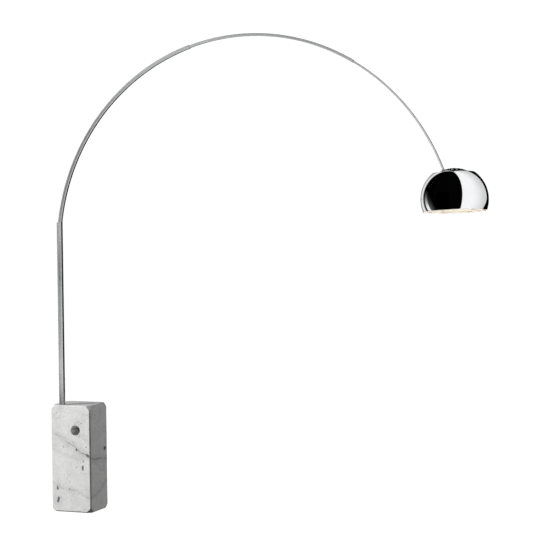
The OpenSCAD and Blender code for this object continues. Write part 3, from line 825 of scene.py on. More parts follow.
def worked_copy(node: str, name: str, edge_mm: float = 0.0, smooth_deg: float = 30.0) -> bpy.types.Object:
    """Copies a node's mesh as a finished piece, with merged corners, smooth rounds and softened edges.

    Args:
        node: The node.
        name: The new object's name.
        edge_mm: Width of the softened edges, or none.
        smooth_deg: Edges sharper than this stay sharp.

    Returns:
        The new object.
    """
    mesh = frame["nodes"][node].data.copy()
    mesh.name = name
    shell = bmesh.new()
    shell.from_mesh(mesh)
    bmesh.ops.remove_doubles(shell, verts=shell.verts, dist=2e-7)
    bmesh.ops.dissolve_limit(shell, angle_limit=math.radians(0.3), verts=shell.verts, edges=shell.edges)
    shell.to_mesh(mesh)
    shell.free()
    made = bpy.data.objects.new(name, mesh)
    bpy.context.scene.collection.objects.link(made)
    if edge_mm:
        bevel = made.modifiers.new("edges", "BEVEL")
        bevel.width, bevel.segments = edge_mm * MM, 2
        bevel.limit_method, bevel.angle_limit = "ANGLE", math.radians(40)
        settle(made)
    shade(made, smooth_deg)
    return made


def fit_out(*rows: tuple[str, str, Finish, str, float]) -> None:
    """Works and dresses the nodes whose shape is right as it is.

    Args:
        *rows: Each node, its body, finish and slot, and the width of its softened edges in millimetres.
    """
    for node, body, finish, slot, edge_mm in rows:
        dress(worked_copy(node, node + "_piece", edge_mm), finish, body, node)


def pivot(joint: str) -> Point:
    """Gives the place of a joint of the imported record.

    Args:
        joint: The joint's name.

    Returns:
        The place in millimetres.
    """
    found = next(j for j in frame["record"]["behaviour"]["joints"] if j["name"] == joint)
    x, y, z = (round(c / MM, 3) for c in found["pos_m"])
    return x, y, z


ARC_CENTRE = pivot("middle_slide")
HEAD_CENTRE = pivot("reflector_tilt")
POST_AT = (-55.5, ARC_CENTRE[1])


# ---------------------------------------------------------------- finishes of this lamp


# Honed Carrara marble: a soft low shine over cool white, with grey clouds, two long veins and dark grains
MARBLE = CarraraMarble(
    "carrara_marble_honed", "#F3F3F2", roughness=0.3, ior=1.5,
    veins=(
        Vein((0.0, -97.0, 349.0), (0.52, 0.18, 1.0), 4.4, 0.95),
        Vein((20.0, -97.0, 112.0), (0.27, -0.25, 1.0), 3.0, 0.6),
        Vein((-70.0, -97.0, 520.0), (-0.9, 0.3, 0.8), 2.4, 0.35),
        Vein((90.0, -97.0, 480.0), (-0.7, 0.5, 0.9), 2.0, 0.25),
        Vein((113.0, 10.0, 220.0), (0.2, 0.5, 1.0), 2.4, 0.40),
    ),
    flecks=(
        Fleck((-80.0, -97.0, 128.0), (5.1, 9.0, 12.0), 1.0),
        Fleck((-68.0, -97.0, 64.0), (5.1, 9.0, 14.4), 1.0),
        Fleck((66.0, -97.0, 224.0), (7.2, 10.0, 12.0), 1.0),
        Fleck((76.0, -97.0, 262.0), (5.8, 8.0, 10.8), 0.66),
        Fleck((57.0, -97.0, 262.0), (5.8, 8.0, 8.4), 0.48),
        Fleck((28.0, -97.0, 331.0), (8.0, 8.0, 4.8), 1.0),
        Fleck((101.0, -97.0, 306.0), (8.7, 8.0, 7.2), 0.96),
        Fleck((-80.0, -97.0, 508.0), (7.2, 8.0, 6.0), 0.6),
        Fleck((28.0, -97.0, 234.0), (7.2, 8.0, 4.8), 0.54),
        Fleck((113.0, 72.0, 318.0), (13.0, 8.0, 10.8), 0.96),
    ))

# Belt-brushed stainless steel: satin, with lines along the section and a soft stretched highlight
POST_STEEL = BrushedSteel("stainless_brushed_upright", "#C3C4C4", roughness=0.24, metallic=1.0)
ARC_STEEL = BrushedSteel("stainless_brushed_along_arc", "#C3C4C4", roughness=0.24, metallic=1.0,
                         run=GrainRun.ALONG_ARC, centre=ARC_CENTRE)
# Painted shade on the sections' slotted side and inside: steel darkened to near black where the underside and the
# hollow lie in shade, dull and lightly mottled
PAINTED_SHADE_STEEL = Mottled("stainless_unbrushed_dark", "#252524", roughness=0.5, metallic=1.0, tone="#1C1C1B",
                     grain_mm=6.0, relief_mm=0.004)
# Mirror-polished aluminium: sharp reflections, with only a trace of the spinning
POLISHED = Mottled("aluminium_mirror_polished", "#EEEFF0", roughness=0.035, metallic=1.0, tone="#E4E5E6",
                   grain_mm=60.0, rough_swing=0.015, relief_mm=0.0)
# Polished aluminium of the cap: a little softer than the reflector, as it was punched after polishing
CAP_METAL = Mottled("aluminium_polished_cap", "#E6E7E8", roughness=0.09, metallic=1.0, tone="#D8D9DA",
                    grain_mm=18.0, rough_swing=0.03, relief_mm=0.002)
# Stoved enamel: a warm white with the slight orange peel of spray paint
ENAMEL = Mottled("white_stoved_enamel", "#F6F3EC", roughness=0.38, tone="#EFEBE2", grain_mm=3.0, relief_mm=0.01)
# Zinc-plated steel: dull grey with the cloudy bloom of plating
ZINC = Mottled("zinc_plated_steel", "#A9ABAD", roughness=0.42, metallic=1.0, tone="#8E9092", grain_mm=4.0)
# Turned aluminium: pale, with a fine tool finish
TURNED_ALUMINIUM = Mottled("aluminium_turned", "#D5D6D7", roughness=0.3, metallic=1.0, tone="#C3C4C6",
                           grain_mm=1.0, stretch=(0.2, 0.2, 1.0), relief_mm=0.003)
# Turned stainless ferrule: brighter than the brushed sections
TURNED_STEEL = Mottled("stainless_turned", "#C9CACA", roughness=0.22, metallic=1.0, tone="#B4B6B6",
                       grain_mm=0.8, stretch=(0.2, 0.2, 1.0), relief_mm=0.004)
# Drawn brass, bare: warm yellow with a soft shine
BRASS = Mottled("brass_drawn", "#C9A45C", roughness=0.3, metallic=1.0, tone="#B38B45", grain_mm=2.0)
# Nickel-plated brass: brighter and a little warmer than steel
NICKELLED = Mottled("brass_nickel_plated", "#C8C5BD", roughness=0.25, metallic=1.0, tone="#B7B3A9", grain_mm=2.0)
# Phenolic moulding: near black with a soft shine
PHENOLIC = Mottled("phenolic_moulded_black", "#1B1A19", roughness=0.35, ior=1.6, tone="#262423", grain_mm=1.5)
# Glazed porcelain: cream white under a clear sharp shine
PORCELAIN = Mottled("porcelain_glazed", "#ECE9E2", roughness=0.15, ior=1.54, tone="#E2DED5", grain_mm=5.0)
# Opal glass with the lamp lit: an even glow that brightens the reflector's white inside
OPAL = Glowing("opal_glass_lit", "#F7F3EA", roughness=0.25, ior=1.52, tone="#F2EDE2", grain_mm=8.0,
               relief_mm=0.002, glow="#FFFBF4", glow_strength=12.0)
# Cast nylon: waxy off-white
NYLON = Mottled("nylon_cast_natural", "#E6E1D2", roughness=0.5, ior=1.53, tone="#DAD4C2", grain_mm=1.5)
# Extruded PVC, white on the lead and grey on the sleeve: dull, with hardly any grain
SHEATH = Mottled("pvc_sheath_white", "#E9E8E4", roughness=0.45, ior=1.53, tone="#DEDDD8", grain_mm=1.0)
PVC_GREY = Mottled("pvc_extruded_grey", "#5B5D60", roughness=0.5, ior=1.53, tone="#4F5154", grain_mm=1.0)
# Pressed wool felt: matt, with crossed fibres and a faint sheen at grazing angles
FELT_GREY = Felted("wool_felt_grey", "#6C6B69", roughness=0.95, tone="#84827F")
FELT_BLACK = Felted("wool_felt_black", "#161616", roughness=0.95, tone="#2A2A2A")


# ---------------------------------------------------------------- the lamp


@dataclass
class Base:
    """The marble block and the fittings that it holds."""

    width: float = 226.0
    depth: float = 194.0
    height: float = 550.0
    lift: float = 1.0
    chamfer: float = 6.0
    corner_leg: float = 28.0
    arris: float = 0.9
    hole_d: float = 50.0
    hole_x: float = 28.0
    hole_z: float = 422.0
    hole_lip: float = 1.2
    socket: tuple[float, float] = (25.4, 19.4)
    socket_z: float = 461.0
    rod_d: float = 9.0
    recess_d: float = 28.0
    recess_h: float = 30.0
    sleeve_d: float = 15.8
    sleeve_z: float = 520.0
    duct_end: float = 66.0
    socket_r: float = 1.0
    pad_d: float = 22.0
    pad_t: float = 3.0
    pad_play: float = 0.1
    pad_round: float = 0.5
    pad_inset: tuple[float, float] = (30.0, 34.0)

    def pad_spots(self) -> list[Point]:
        """Gives the pads' places: one in the middle and one near each corner."""
        x, y = self.width / 2 - self.pad_inset[0], self.depth / 2 - self.pad_inset[1]
        return [(0.0, 0.0, 0.0)] + [(sx * x, sy * y, 0.0) for sx in (-1, 1) for sy in (-1, 1)]

    def blank(self) -> bpy.types.Object:
        """Saws the block: a cuboid, its edges chamfered and its corners cut off.

        Returns:
            The block before it is drilled.
        """
        shell = bmesh.new()
        bmesh.ops.create_cube(shell, size=1.0)
        half = Vector((self.width, self.depth, self.height)) / 2
        bmesh.ops.scale(shell, vec=2 * half, verts=shell.verts)
        cuts = [(Vector((sx, sy, sz)), sum(half[i] * abs(s) for i, s in enumerate((sx, sy, sz)))
                 - (self.chamfer if 0 in (sx, sy, sz) else self.corner_leg))
                for sx in (-1, 0, 1) for sy in (-1, 0, 1) for sz in (-1, 0, 1)
                if abs(sx) + abs(sy) + abs(sz) > 1]
        for facing, reach in sorted(cuts, key=lambda cut: cut[0].length):
            whole = shell.verts[:] + shell.edges[:] + shell.faces[:]
            kept = bmesh.ops.bisect_plane(shell, geom=whole, plane_co=facing * reach / facing.length_squared,
                                          plane_no=facing, clear_outer=True, dist=1e-4)
            rim = [e for e in kept["geom_cut"] if isinstance(e, bmesh.types.BMEdge)]
            bmesh.ops.holes_fill(shell, edges=rim)
        bmesh.ops.bevel(shell, geom=shell.edges[:], offset=self.arris, segments=2, profile=0.6, affect="EDGES",
                        clamp_overlap=True)
        points = [tuple(v.co + Vector((0, 0, self.lift + half.z))) for v in shell.verts]
        shell.verts.index_update()
        faces = [tuple(v.index for v in f.verts) for f in shell.faces]
        shell.free()
        return build("block", points, faces)

    def drills(self) -> list[bpy.types.Object]:
        """Makes the solids that are taken out of the block.

        Returns:
            One closed solid for each hole.
        """
        face, lip, r = self.depth / 2, self.hole_lip, self.hole_d / 2
        bar = [(0.0, -face - OVERRUN), (r + lip + OVERRUN, -face - OVERRUN), (r + lip, -face), (r, -face + lip),
               (r, face - lip), (r + lip, face), (r + lip + OVERRUN, face + OVERRUN), (0.0, face + OVERRUN)]
        lying = Matrix.Rotation(math.radians(90), 4, "X")
        cuts = [build("cut_lift", *lathe(bar, 96, closed=False),
                      place=Matrix.Translation(Vector((self.hole_x, 0, self.hole_z)) * MM) @ lying)]
        sx, sy = (s / 2 for s in self.socket)
        ring = soften([(-sx, -sy), (sx, -sy), (sx, sy), (-sx, sy)], self.socket_r)
        n = len(ring)
        top = self.lift + self.height + OVERRUN
        points = [(x + POST_AT[0], y + POST_AT[1], z) for z in (self.socket_z, top) for x, y in ring]
        faces: Faces = [tuple(range(n)), tuple(range(n, 2 * n))]
        faces += [(k, (k + 1) % n, n + (k + 1) % n, n + k) for k in range(n)]
        cuts.append(build("cut_socket", points, faces))
        rod = [(0.0, -OVERRUN), (self.recess_d / 2, -OVERRUN), (self.recess_d / 2, self.recess_h),
               (self.rod_d / 2, self.recess_h), (self.rod_d / 2, self.socket_z + OVERRUN),
               (0.0, self.socket_z + OVERRUN)]
        stand = Matrix.Translation(Vector((*POST_AT, 0)) * MM)
        cuts.append(build("cut_rod", *lathe(rod, 48, closed=False), place=stand))
        duct = [(0.0, -face - OVERRUN), (self.sleeve_d / 2, -face - OVERRUN), (self.sleeve_d / 2, self.duct_end),
                (0.0, self.duct_end)]
        at = Matrix.Translation(Vector((POST_AT[0], 0, self.sleeve_z)) * MM) @ lying
        cuts.append(build("cut_duct", *lathe(duct, 48, closed=False), place=at))
        seat_r = self.pad_d / 2 + self.pad_play
        seat = [(0.0, -OVERRUN), (seat_r, -OVERRUN), (seat_r, self.pad_t), (0.0, self.pad_t)]
        cuts += [build(f"cut_pad_{number}", *lathe(seat, 40, closed=False),
                       place=Matrix.Translation(Vector(spot) * MM)) for number, spot in enumerate(self.pad_spots())]
        return cuts

    def block(self) -> bpy.types.Object:
        """Drills the block; only the lifting hole's wall is shaded smooth.

        Returns:
            The block.
        """
        made = self.blank()
        drill(made, self.drills())
        made.data.set_sharp_from_angle(angle=math.radians(32))
        reach = (self.hole_d / 2 + 0.1) * MM
        for face in made.data.polygons:
            off = math.hypot(face.center.x - self.hole_x * MM, face.center.z - self.hole_z * MM)
            face.use_smooth = off < reach and abs(face.normal.y) < 0.1
        return made

    def pads(self, recipe: Recipe) -> bpy.types.Object:
        """Sets out the felt pads with slightly rounded rims.

        Args:
            recipe: The recipe that sets out copies.

        Returns:
            The pads as one piece.
        """
        r, t = self.pad_d / 2, self.pad_t
        rim = [(0.0, 0.0)] + soften([(0.0, 0.0), (r, 0.0), (r, t), (0.0, t)], self.pad_round, keep=(0, 3))[1:]
        pattern = build("pad_pattern", *lathe(rim, 48, closed=False))
        spots = self.pad_spots()
        return set_out("felt_pads", pattern, spots, [1.0] * len(spots), (0.0, 0.0, 0.0), FELT_GREY, recipe)

    def make(self, recipe: Recipe) -> None:
        """Builds and dresses the block, its pads and its fittings.

        Args:
            recipe: The recipe that sets out copies.
        """
        dress(self.block(), MARBLE, "base", "marble_block")
        dress(self.pads(recipe), FELT_GREY, "base", "floor_pads")
        fit_out(("tie_rod", "base", ZINC, "plain_steel", 0.5),
                ("tie_rod_washer", "base", ZINC, "plain_steel", 0.15),
                ("tie_rod_nut", "base", ZINC, "plain_steel", 0.4),
                ("conduit_sleeve", "base", PVC_GREY, "dark_plastic", 0.2),
                ("inlet_gland", "base", PHENOLIC, "dark_plastic", 0.3))


@dataclass(frozen=True)
class Channel:
    """One telescoping section: a folded channel with its slot on the inner side of the curve."""

    node: str
    body: str
    radius: float
    depth: float
    width: float
    from_deg: float
    to_deg: float
    sheet: float = 1.5
    lip: float = 1.2
    fold: float = 1.0

    def outline(self) -> Outline:
        """Gives the channel's outline as radial and sideways offsets from its inner edge.

        Returns:
            The outline, its folds rounded.
        """
        half, d, t = self.width / 2, self.depth, self.sheet
        slot = half - t - self.lip
        corners = [(0.0, slot), (0.0, half), (d, half), (d, -half), (0.0, -half), (0.0, -slot), (t, -slot),
                   (t, t - half), (d - t, t - half), (d - t, half - t), (t, half - t), (t, slot)]
        return soften(corners, self.fold, keep=(0, 5, 6, 7, 8, 9, 10, 11))

    def make(self, recipe: Recipe) -> None:
        """Draws the outline along the arc, and dresses the section.

        Args:
            recipe: The recipe that draws along an arc.
        """
        outline = self.outline()
        mesh = bpy.data.meshes.new(self.node)
        mesh.from_pydata([(a * MM, b * MM, 0.0) for a, b in outline],
                         [(k, (k + 1) % len(outline)) for k in range(len(outline))], [])
        made = bpy.data.objects.new(self.node + "_section", mesh)
        bpy.context.scene.collection.objects.link(made)
        sweep = self.to_deg - self.from_deg
        recipe.run(made, Centre=[c * MM for c in ARC_CENTRE], Radius=self.radius * MM,
                   From=math.radians(self.from_deg), Sweep=math.radians(sweep), Steps=int(2 * sweep) + 2,
                   Finish=ARC_STEEL.material())
        shade(made, 30.0)
        hub = Vector(ARC_CENTRE) * MM

        def within(at: Vector, normal: Vector) -> bool:
            """Tells the channel's inside and its slotted side, which get painted shade, from the three brushed sides.
            """
            out = Vector((at.x - hub.x, 0.0, at.z - hub.z))
            deep, aside = out.length / MM - self.radius, abs(at.y - hub.y) / MM
            hollow = deep < self.depth - 0.5 * self.sheet and aside < self.width / 2 - 0.5 * self.sheet
            return hollow or normal.dot(out.normalized()) < -0.2

        # The inside and the slotted side get near-black steel: painted shade
        line(made, ARC_STEEL, PAINTED_SHADE_STEEL, within)
        dress(made, ARC_STEEL, self.body, self.node)


LOWER = Channel("arc_lower", "base", 1044.0, 18.0, 15.0, 107.2, 173.617)
MIDDLE = Channel("arc_middle", "middle_arc", 1045.8, 13.6, 11.4, 59.1, 113.237)
UPPER = Channel("arc_upper", "upper_arc", 1047.6, 9.2, 7.8, 21.2, 65.137)


@dataclass
class Post:
    """The square post, what holds it, and the joiner that carries the arc."""

    depth: float = 19.0
    mouth_deg: float = 172.3
    screw_d: float = 5.0
    screw_l: float = 5.9
    head_ratio: float = 1.8
    head_h_ratio: float = 0.55
    socket_ratio: float = 0.7
    screw_z: tuple[float, ...] = (1425.0, 1365.0)
    arc_screw_in: float = 40.0
    arc_screw_size: float = 0.8

    def screw_pattern(self) -> bpy.types.Object:
        """Makes one button-head screw of unit size in 5 mm thread, its head's underside at nought.

        Returns:
            The pattern piece, which stands upright.
        """
        d, end = self.screw_d, self.screw_l
        head_r, head_h, flats = self.head_ratio * d / 2, self.head_h_ratio * d, self.socket_ratio * d / 2
        rows = [(0.35 * d, -end), (0.45 * d, 0.4 - end), (0.5 * d, 0.9 - end), (0.5 * d, 0.0), (head_r - 0.2, 0.0),
                (head_r, 0.2), (head_r, 0.3 * head_h), (0.93 * head_r, 0.62 * head_h), (0.78 * head_r, 0.86 * head_h),
                (0.6 * head_r, head_h), (flats, head_h), (flats, 0.4 * head_h)]
        segments = 48
        points: list[Point] = []
        for number, (r, z) in enumerate(rows):
            for k in range(segments):
                turn = 2 * math.pi * k / segments
                hexed = r * math.cos(math.radians(30)) / math.cos(turn % math.radians(60) - math.radians(30))
                reach = hexed if number >= len(rows) - 2 else r
                points.append((reach * math.cos(turn), reach * math.sin(turn), z))
        faces: Faces = [tuple(range(segments))]
        for row in range(len(rows) - 1):
            for k in range(segments):
                n = (k + 1) % segments
                a, b = row * segments, (row + 1) * segments
                faces.append((a + k, a + n, b + n, b + k))
        faces.append(tuple(range((len(rows) - 1) * segments, len(rows) * segments)))
        return build("screw_pattern", points, faces, smooth_deg=40.0)

    def make(self, recipe: Recipe) -> None:
        """Builds and dresses the post and its fittings.

        Args:
            recipe: The recipe that sets out copies.
        """
        fit_out(("post_tube", "base", POST_STEEL, "satin_steel", 0.25),
                ("post_cap", "base", POST_STEEL, "satin_steel", 0.0),
                ("post_foot", "base", ZINC, "plain_steel", 0.3),
                ("foot_pin", "base", ZINC, "plain_steel", 0.4),
                ("arc_joiner", "base", ZINC, "plain_steel", 0.3))
        x, y = POST_AT
        turn = math.radians(self.mouth_deg) - self.arc_screw_in / LOWER.radius
        reach = LOWER.radius + LOWER.depth / 2
        spots = [(x, y + self.depth / 2, z) for z in self.screw_z]
        spots.append((ARC_CENTRE[0] + reach * math.cos(turn), y + LOWER.width / 2,
                      ARC_CENTRE[2] + reach * math.sin(turn)))
        sizes = [1.0] * len(self.screw_z) + [self.arc_screw_size]
        screws = set_out("button_screws", self.screw_pattern(), spots, sizes, (math.radians(-90), 0.0, 0.0),
                         TURNED_STEEL, recipe)
        dress(screws, TURNED_STEEL, "base", "joiner_screws")


@dataclass
class Arc:
    """The three sections with what slides and lies inside them."""

    channels: tuple[Channel, ...] = (LOWER, MIDDLE, UPPER)

    def make(self, recipe: Recipe) -> None:
        """Builds and dresses the sections, shoes, glides, pins and leads.

        Args:
            recipe: The recipe that draws along an arc.
        """
        for channel in self.channels:
            channel.make(recipe)
        fit_out(("lower_glide", "base", NYLON, "nylon", 0.0),
                ("middle_glide", "middle_arc", NYLON, "nylon", 0.0),
                ("middle_shoe", "middle_arc", NYLON, "nylon", 0.3),
                ("upper_shoe", "upper_arc", NYLON, "nylon", 0.3),
                ("middle_shoe_pins", "middle_arc", ZINC, "plain_steel", 0.0),
                ("lead_base", "base", SHEATH, "lead_sheath", 0.0),
                ("lead_middle", "middle_arc", SHEATH, "lead_sheath", 0.0),
                ("lead_upper", "upper_arc", SHEATH, "lead_sheath", 0.0))


@dataclass
class Head:
    """The arc's end: neck, perforated cap, lampholder and bulb, about the head's centre."""

    neck_deg: float = UPPER.from_deg
    cap_r: float = 147.0
    cap_wall: float = 1.2
    cap_deg: float = 64.0
    vent_d: float = 11.0
    vent_pitch: float = 18.0
    vents: int = 19
    vent_room: float = 2.0
    flange_d: float = 15.0
    nipple_d: float = 9.9
    nipple_play: float = 0.1
    holder_d: float = 39.0
    holder_mouth: float = 85.58
    holder_h: float = 44.0
    boss_h: float = 8.0
    boss_d: float = 18.0
    nipple_stop: float = 0.5
    lead_hole_d: float = 6.5
    holder_wall: float = 3.0
    ring_h: float = 7.0
    ring_up: float = 4.0
    ring_t: float = 3.5
    ring_ribs: int = 30
    rib_h: float = 0.7
    bulb_tip: float = 111.18
    bulb_len: float = 104.0
    bulb_d: float = 60.0
    bulb_neck_d: float = 25.4
    bulb_wall: float = 1.0
    screw_cap_h: float = 24.0
    thread_d: float = 26.2
    thread_pitch: float = 3.6
    thread_h: float = 0.7
    contact_d: float = 9.0
    contact_h: float = 2.0

    def upright(self) -> Matrix:
        """Places a piece about the vertical through the head's centre."""
        return Matrix.Translation(Vector(HEAD_CENTRE) * MM)

    def on_neck(self) -> Matrix:
        """Places a piece about the neck's axis, which leans towards the arc."""
        return self.upright() @ Matrix.Rotation(math.radians(-self.neck_deg), 4, "Y")

    def dome(self, recipe: Recipe) -> bpy.types.Object:
        """Spins the cap, and punches its vents and the nipple's hole.

        Args:
            recipe: The recipe that punches vents.

        Returns:
            The cap.
        """
        outer, inner = self.cap_r, self.cap_r - self.cap_wall
        steps = 72
        sweep = [math.radians(self.cap_deg) * k / steps for k in range(steps + 1)]
        wall = [(outer * math.sin(a), outer * math.cos(a)) for a in sweep]
        wall += [(inner * math.sin(a), inner * math.cos(a)) for a in reversed(sweep)]
        made = build("cap", *lathe(wall, 192, closed=False), place=self.upright())
        bore_r = self.nipple_d / 2 + self.nipple_play
        ends = inner - OVERRUN, outer + OVERRUN
        bore = [(0.0, ends[0]), (bore_r, ends[0]), (bore_r, ends[1]), (0.0, ends[1])]
        drill(made, [build("cut_neck", *lathe(bore, 40, closed=False), place=self.on_neck())])
        reach = self.cap_r * math.sin(math.radians(self.neck_deg))
        recipe.run(made, Dome_radius=self.cap_r * MM, Pitch=self.vent_pitch * MM, Hole_radius=self.vent_d / 2 * MM,
                   Centre=[c * MM for c in HEAD_CENTRE], Neck_at=(-reach * MM, 0.0, 0.0),
                   Neck_room=((self.flange_d + self.vent_d) / 2 + self.vent_room) * MM, Holes=self.vents,
                   Finish=CAP_METAL.material())
        shade(made, 30.0)
        return made

    def holder(self) -> list[tuple[bpy.types.Object, Finish, str, str]]:
        """Moulds the lampholder and its threaded ring.

        Returns:
            Each piece with its finish, slot and node.
        """
        r, w, top = self.holder_d / 2, self.holder_wall, self.holder_mouth + self.holder_h
        boss, boss_r, stop = top + self.boss_h, self.boss_d / 2, top + self.nipple_stop
        shell = soften([(r - w, self.holder_mouth), (r, self.holder_mouth), (r, top), (boss_r, top), (boss_r, boss),
                        (self.nipple_d / 2, boss), (self.nipple_d / 2, stop), (self.lead_hole_d / 2, stop),
                        (self.lead_hole_d / 2, top - w), (r - w, top - w)], 1.0)
        body = build("lampholder", *lathe(shell, 96), place=self.on_neck())
        low, high = self.holder_mouth + self.ring_up, self.holder_mouth + self.ring_up + self.ring_h
        band = soften([(r, low), (r + self.ring_t, low), (r + self.ring_t, high), (r, high)], 0.8)
        ring = build("shade_ring", *lathe(band, 240, lobes=self.ring_ribs, lobe_depth=self.rib_h),
                     place=self.on_neck())
        return [(body, PHENOLIC, "dark_plastic", "holder_body"), (ring, PHENOLIC, "dark_plastic", "holder_ring")]

    def bulb(self) -> list[tuple[bpy.types.Object, Finish, str, str]]:
        """Blows the bulb and rolls the thread of its cap.

        Returns:
            Each piece with its finish, slot and node.
        """
        r, neck = self.bulb_d / 2, self.bulb_neck_d / 2
        ball_z = self.bulb_tip - self.bulb_len + r
        neck_z = self.bulb_tip - self.screw_cap_h
        span = neck_z - ball_z
        lean = math.asin(r / math.hypot(neck, span)) - math.atan2(neck, span)
        outer = [(0.0, ball_z - r)]
        sweep = 48
        for k in range(1, sweep + 1):
            a = -math.pi / 2 + (lean + math.pi / 2) * k / sweep
            outer.append((r * math.cos(a), ball_z + r * math.sin(a)))
        outer.append((neck, neck_z))
        inner = [(max(x - self.bulb_wall, 0.0), z + (self.bulb_wall if x < 1 else 0.0)) for x, z in reversed(outer)]
        glass = build("bulb", *lathe(outer + inner, 96, closed=False), place=self.on_neck())
        t, crest, steps = self.thread_d / 2, self.thread_h, 8
        low, high = neck_z, self.bulb_tip - 3
        turns = int((high - low) / self.thread_pitch) * steps
        thread = [(t - crest + crest * math.cos(math.tau * k / steps), low + self.thread_pitch * k / steps)
                  for k in range(turns + 1)]
        tip, end = self.contact_d / 2, self.bulb_tip + self.contact_h
        metal = [*thread, (t, high - 0.3), (t - 0.3, high), (t - 2.5, high + 0.05), (tip, self.bulb_tip),
                 (tip, end - 0.4), (tip - 0.5, end), (0.0, end)]
        cap = build("bulb_screw_cap", *lathe([(0.0, low), *metal], 96, closed=False), place=self.on_neck())
        return [(glass, OPAL, "opal_glass", "bulb_glass"), (cap, NICKELLED, "nickelled_brass", "bulb_cap")]

    def make(self, punch: Recipe) -> None:
        """Builds and dresses every piece of the head.

        Args:
            punch: The recipe that punches vents.
        """
        dress(self.dome(punch), CAP_METAL, "upper_arc", "cap_dome")
        dress(worked_copy("neck_flange", "neck_ferrule", 0.6), TURNED_STEEL, "upper_arc", "neck_flange")
        for made, finish, slot, node in self.holder() + self.bulb():
            dress(made, finish, "upper_arc", node)
        fit_out(("cap_nipple", "upper_arc", ZINC, "plain_steel", 0.3),
                ("cap_washer", "upper_arc", ZINC, "plain_steel", 0.15),
                ("cap_nut", "upper_arc", ZINC, "plain_steel", 0.3),
                ("holder_insert", "upper_arc", PORCELAIN, "porcelain", 0.5),
                ("holder_shell", "upper_arc", BRASS, "brass", 0.15),
                ("holder_contact", "upper_arc", BRASS, "brass", 0.3))


@dataclass
class Reflector:
    """The polished dome with its seat, and the felt it turns on."""

    lean_deg: float = 2.9
    pitch_deg: float = 3.8
    radius: float = 160.0
    wall: float = 1.5
    rim_drop: float = 56.4
    rim_round: float = 0.35
    opening_deg: float = 38.0
    felt: tuple[float, float] = (147.3, 149.3)
    felt_deg: tuple[float, float] = (37.5, 43.0)
    felt_round: float = 0.5

    def place(self) -> Matrix:
        """Places a piece about the reflector's own leaning axis."""
        return (Matrix.Translation(Vector(HEAD_CENTRE) * MM)
                @ Matrix.Rotation(math.radians(-self.lean_deg), 4, "Y")
                @ Matrix.Rotation(math.radians(-self.pitch_deg), 4, "X"))

    def curve(self, r: float, from_deg: float, to_deg: float, steps: int) -> Outline:
        """Gives points on a circle between two polar angles.

        Args:
            r: The circle's radius.
            from_deg: First angle from the axis.
            to_deg: Last angle from the axis.
            steps: Segments between them.

        Returns:
            Points of radius and height.
        """
        span = [math.radians(from_deg + (to_deg - from_deg) * k / steps) for k in range(steps + 1)]
        return [(r * math.sin(a), r * math.cos(a)) for a in span]

    def shell(self) -> bpy.types.Object:
        """Spins the reflector's metal: polished outside and over both rolled edges.

        Returns:
            The shell, with its inside in enamel.
        """
        r, inside = self.radius, self.radius - self.wall
        rim, rim_in = (90 + math.degrees(math.asin(self.rim_drop / x)) for x in (r, inside))
        steps = 96
        wall = (self.curve(r, self.opening_deg, rim, steps)
                + self.curve(inside, rim_in, self.opening_deg, steps))
        ends = (0, steps, steps + 1, 2 * steps + 1)
        wall = soften(wall, self.rim_round, keep=[k for k in range(len(wall)) if k not in ends])
        made = build("reflector", *lathe(wall, 256), place=self.place())
        hub, limit = Vector(HEAD_CENTRE) * MM, (r - 0.62 * self.wall) * MM
        line(made, POLISHED, ENAMEL, lambda at, normal: (at - hub).length < limit and normal.dot(at - hub) < 0)
        return made

    def make(self) -> None:
        """Builds and dresses the felt, the seat and the reflector."""
        steps = 10
        inner, outer = self.felt
        top, foot = self.felt_deg
        pad = self.curve(outer, top, foot, steps) + self.curve(inner, foot, top, steps)
        ends = (0, steps, steps + 1, 2 * steps + 1)
        pad = soften(pad, self.felt_round, keep=[k for k in range(len(pad)) if k not in ends])
        felt = build("felt_seat", *lathe(pad, 192), place=self.place())
        dress(felt, FELT_BLACK, "felt", "felt_ring")
        dress(worked_copy("seat_ring", "seat"), TURNED_ALUMINIUM, "reflector", "seat_ring")
        dress(self.shell(), POLISHED, "reflector", "reflector_shell")


# ---------------------------------------------------------------- the studio


@dataclass(frozen=True)
class Softbox:
    """A square area light aimed at a point."""

    name: str
    place: Point
    target: Point
    size: float
    power: float

    def make(self, spared: bpy.types.Collection) -> None:
        """Hangs the light.

        Args:
            spared: Pieces that this light leaves alone.
        """
        data = bpy.data.lights.new(self.name, "AREA")
        data.size, data.energy = self.size, self.power
        lamp = bpy.data.objects.new(self.name, data)
        lamp.location = self.place
        aim = Vector(self.target) - Vector(self.place)
        lamp.rotation_euler = aim.to_track_quat("-Z", "Y").to_euler()
        lamp.visible_camera = False
        lamp.visible_glossy = False
        bpy.context.scene.collection.objects.link(lamp)
        lamp.light_linking.receiver_collection = spared


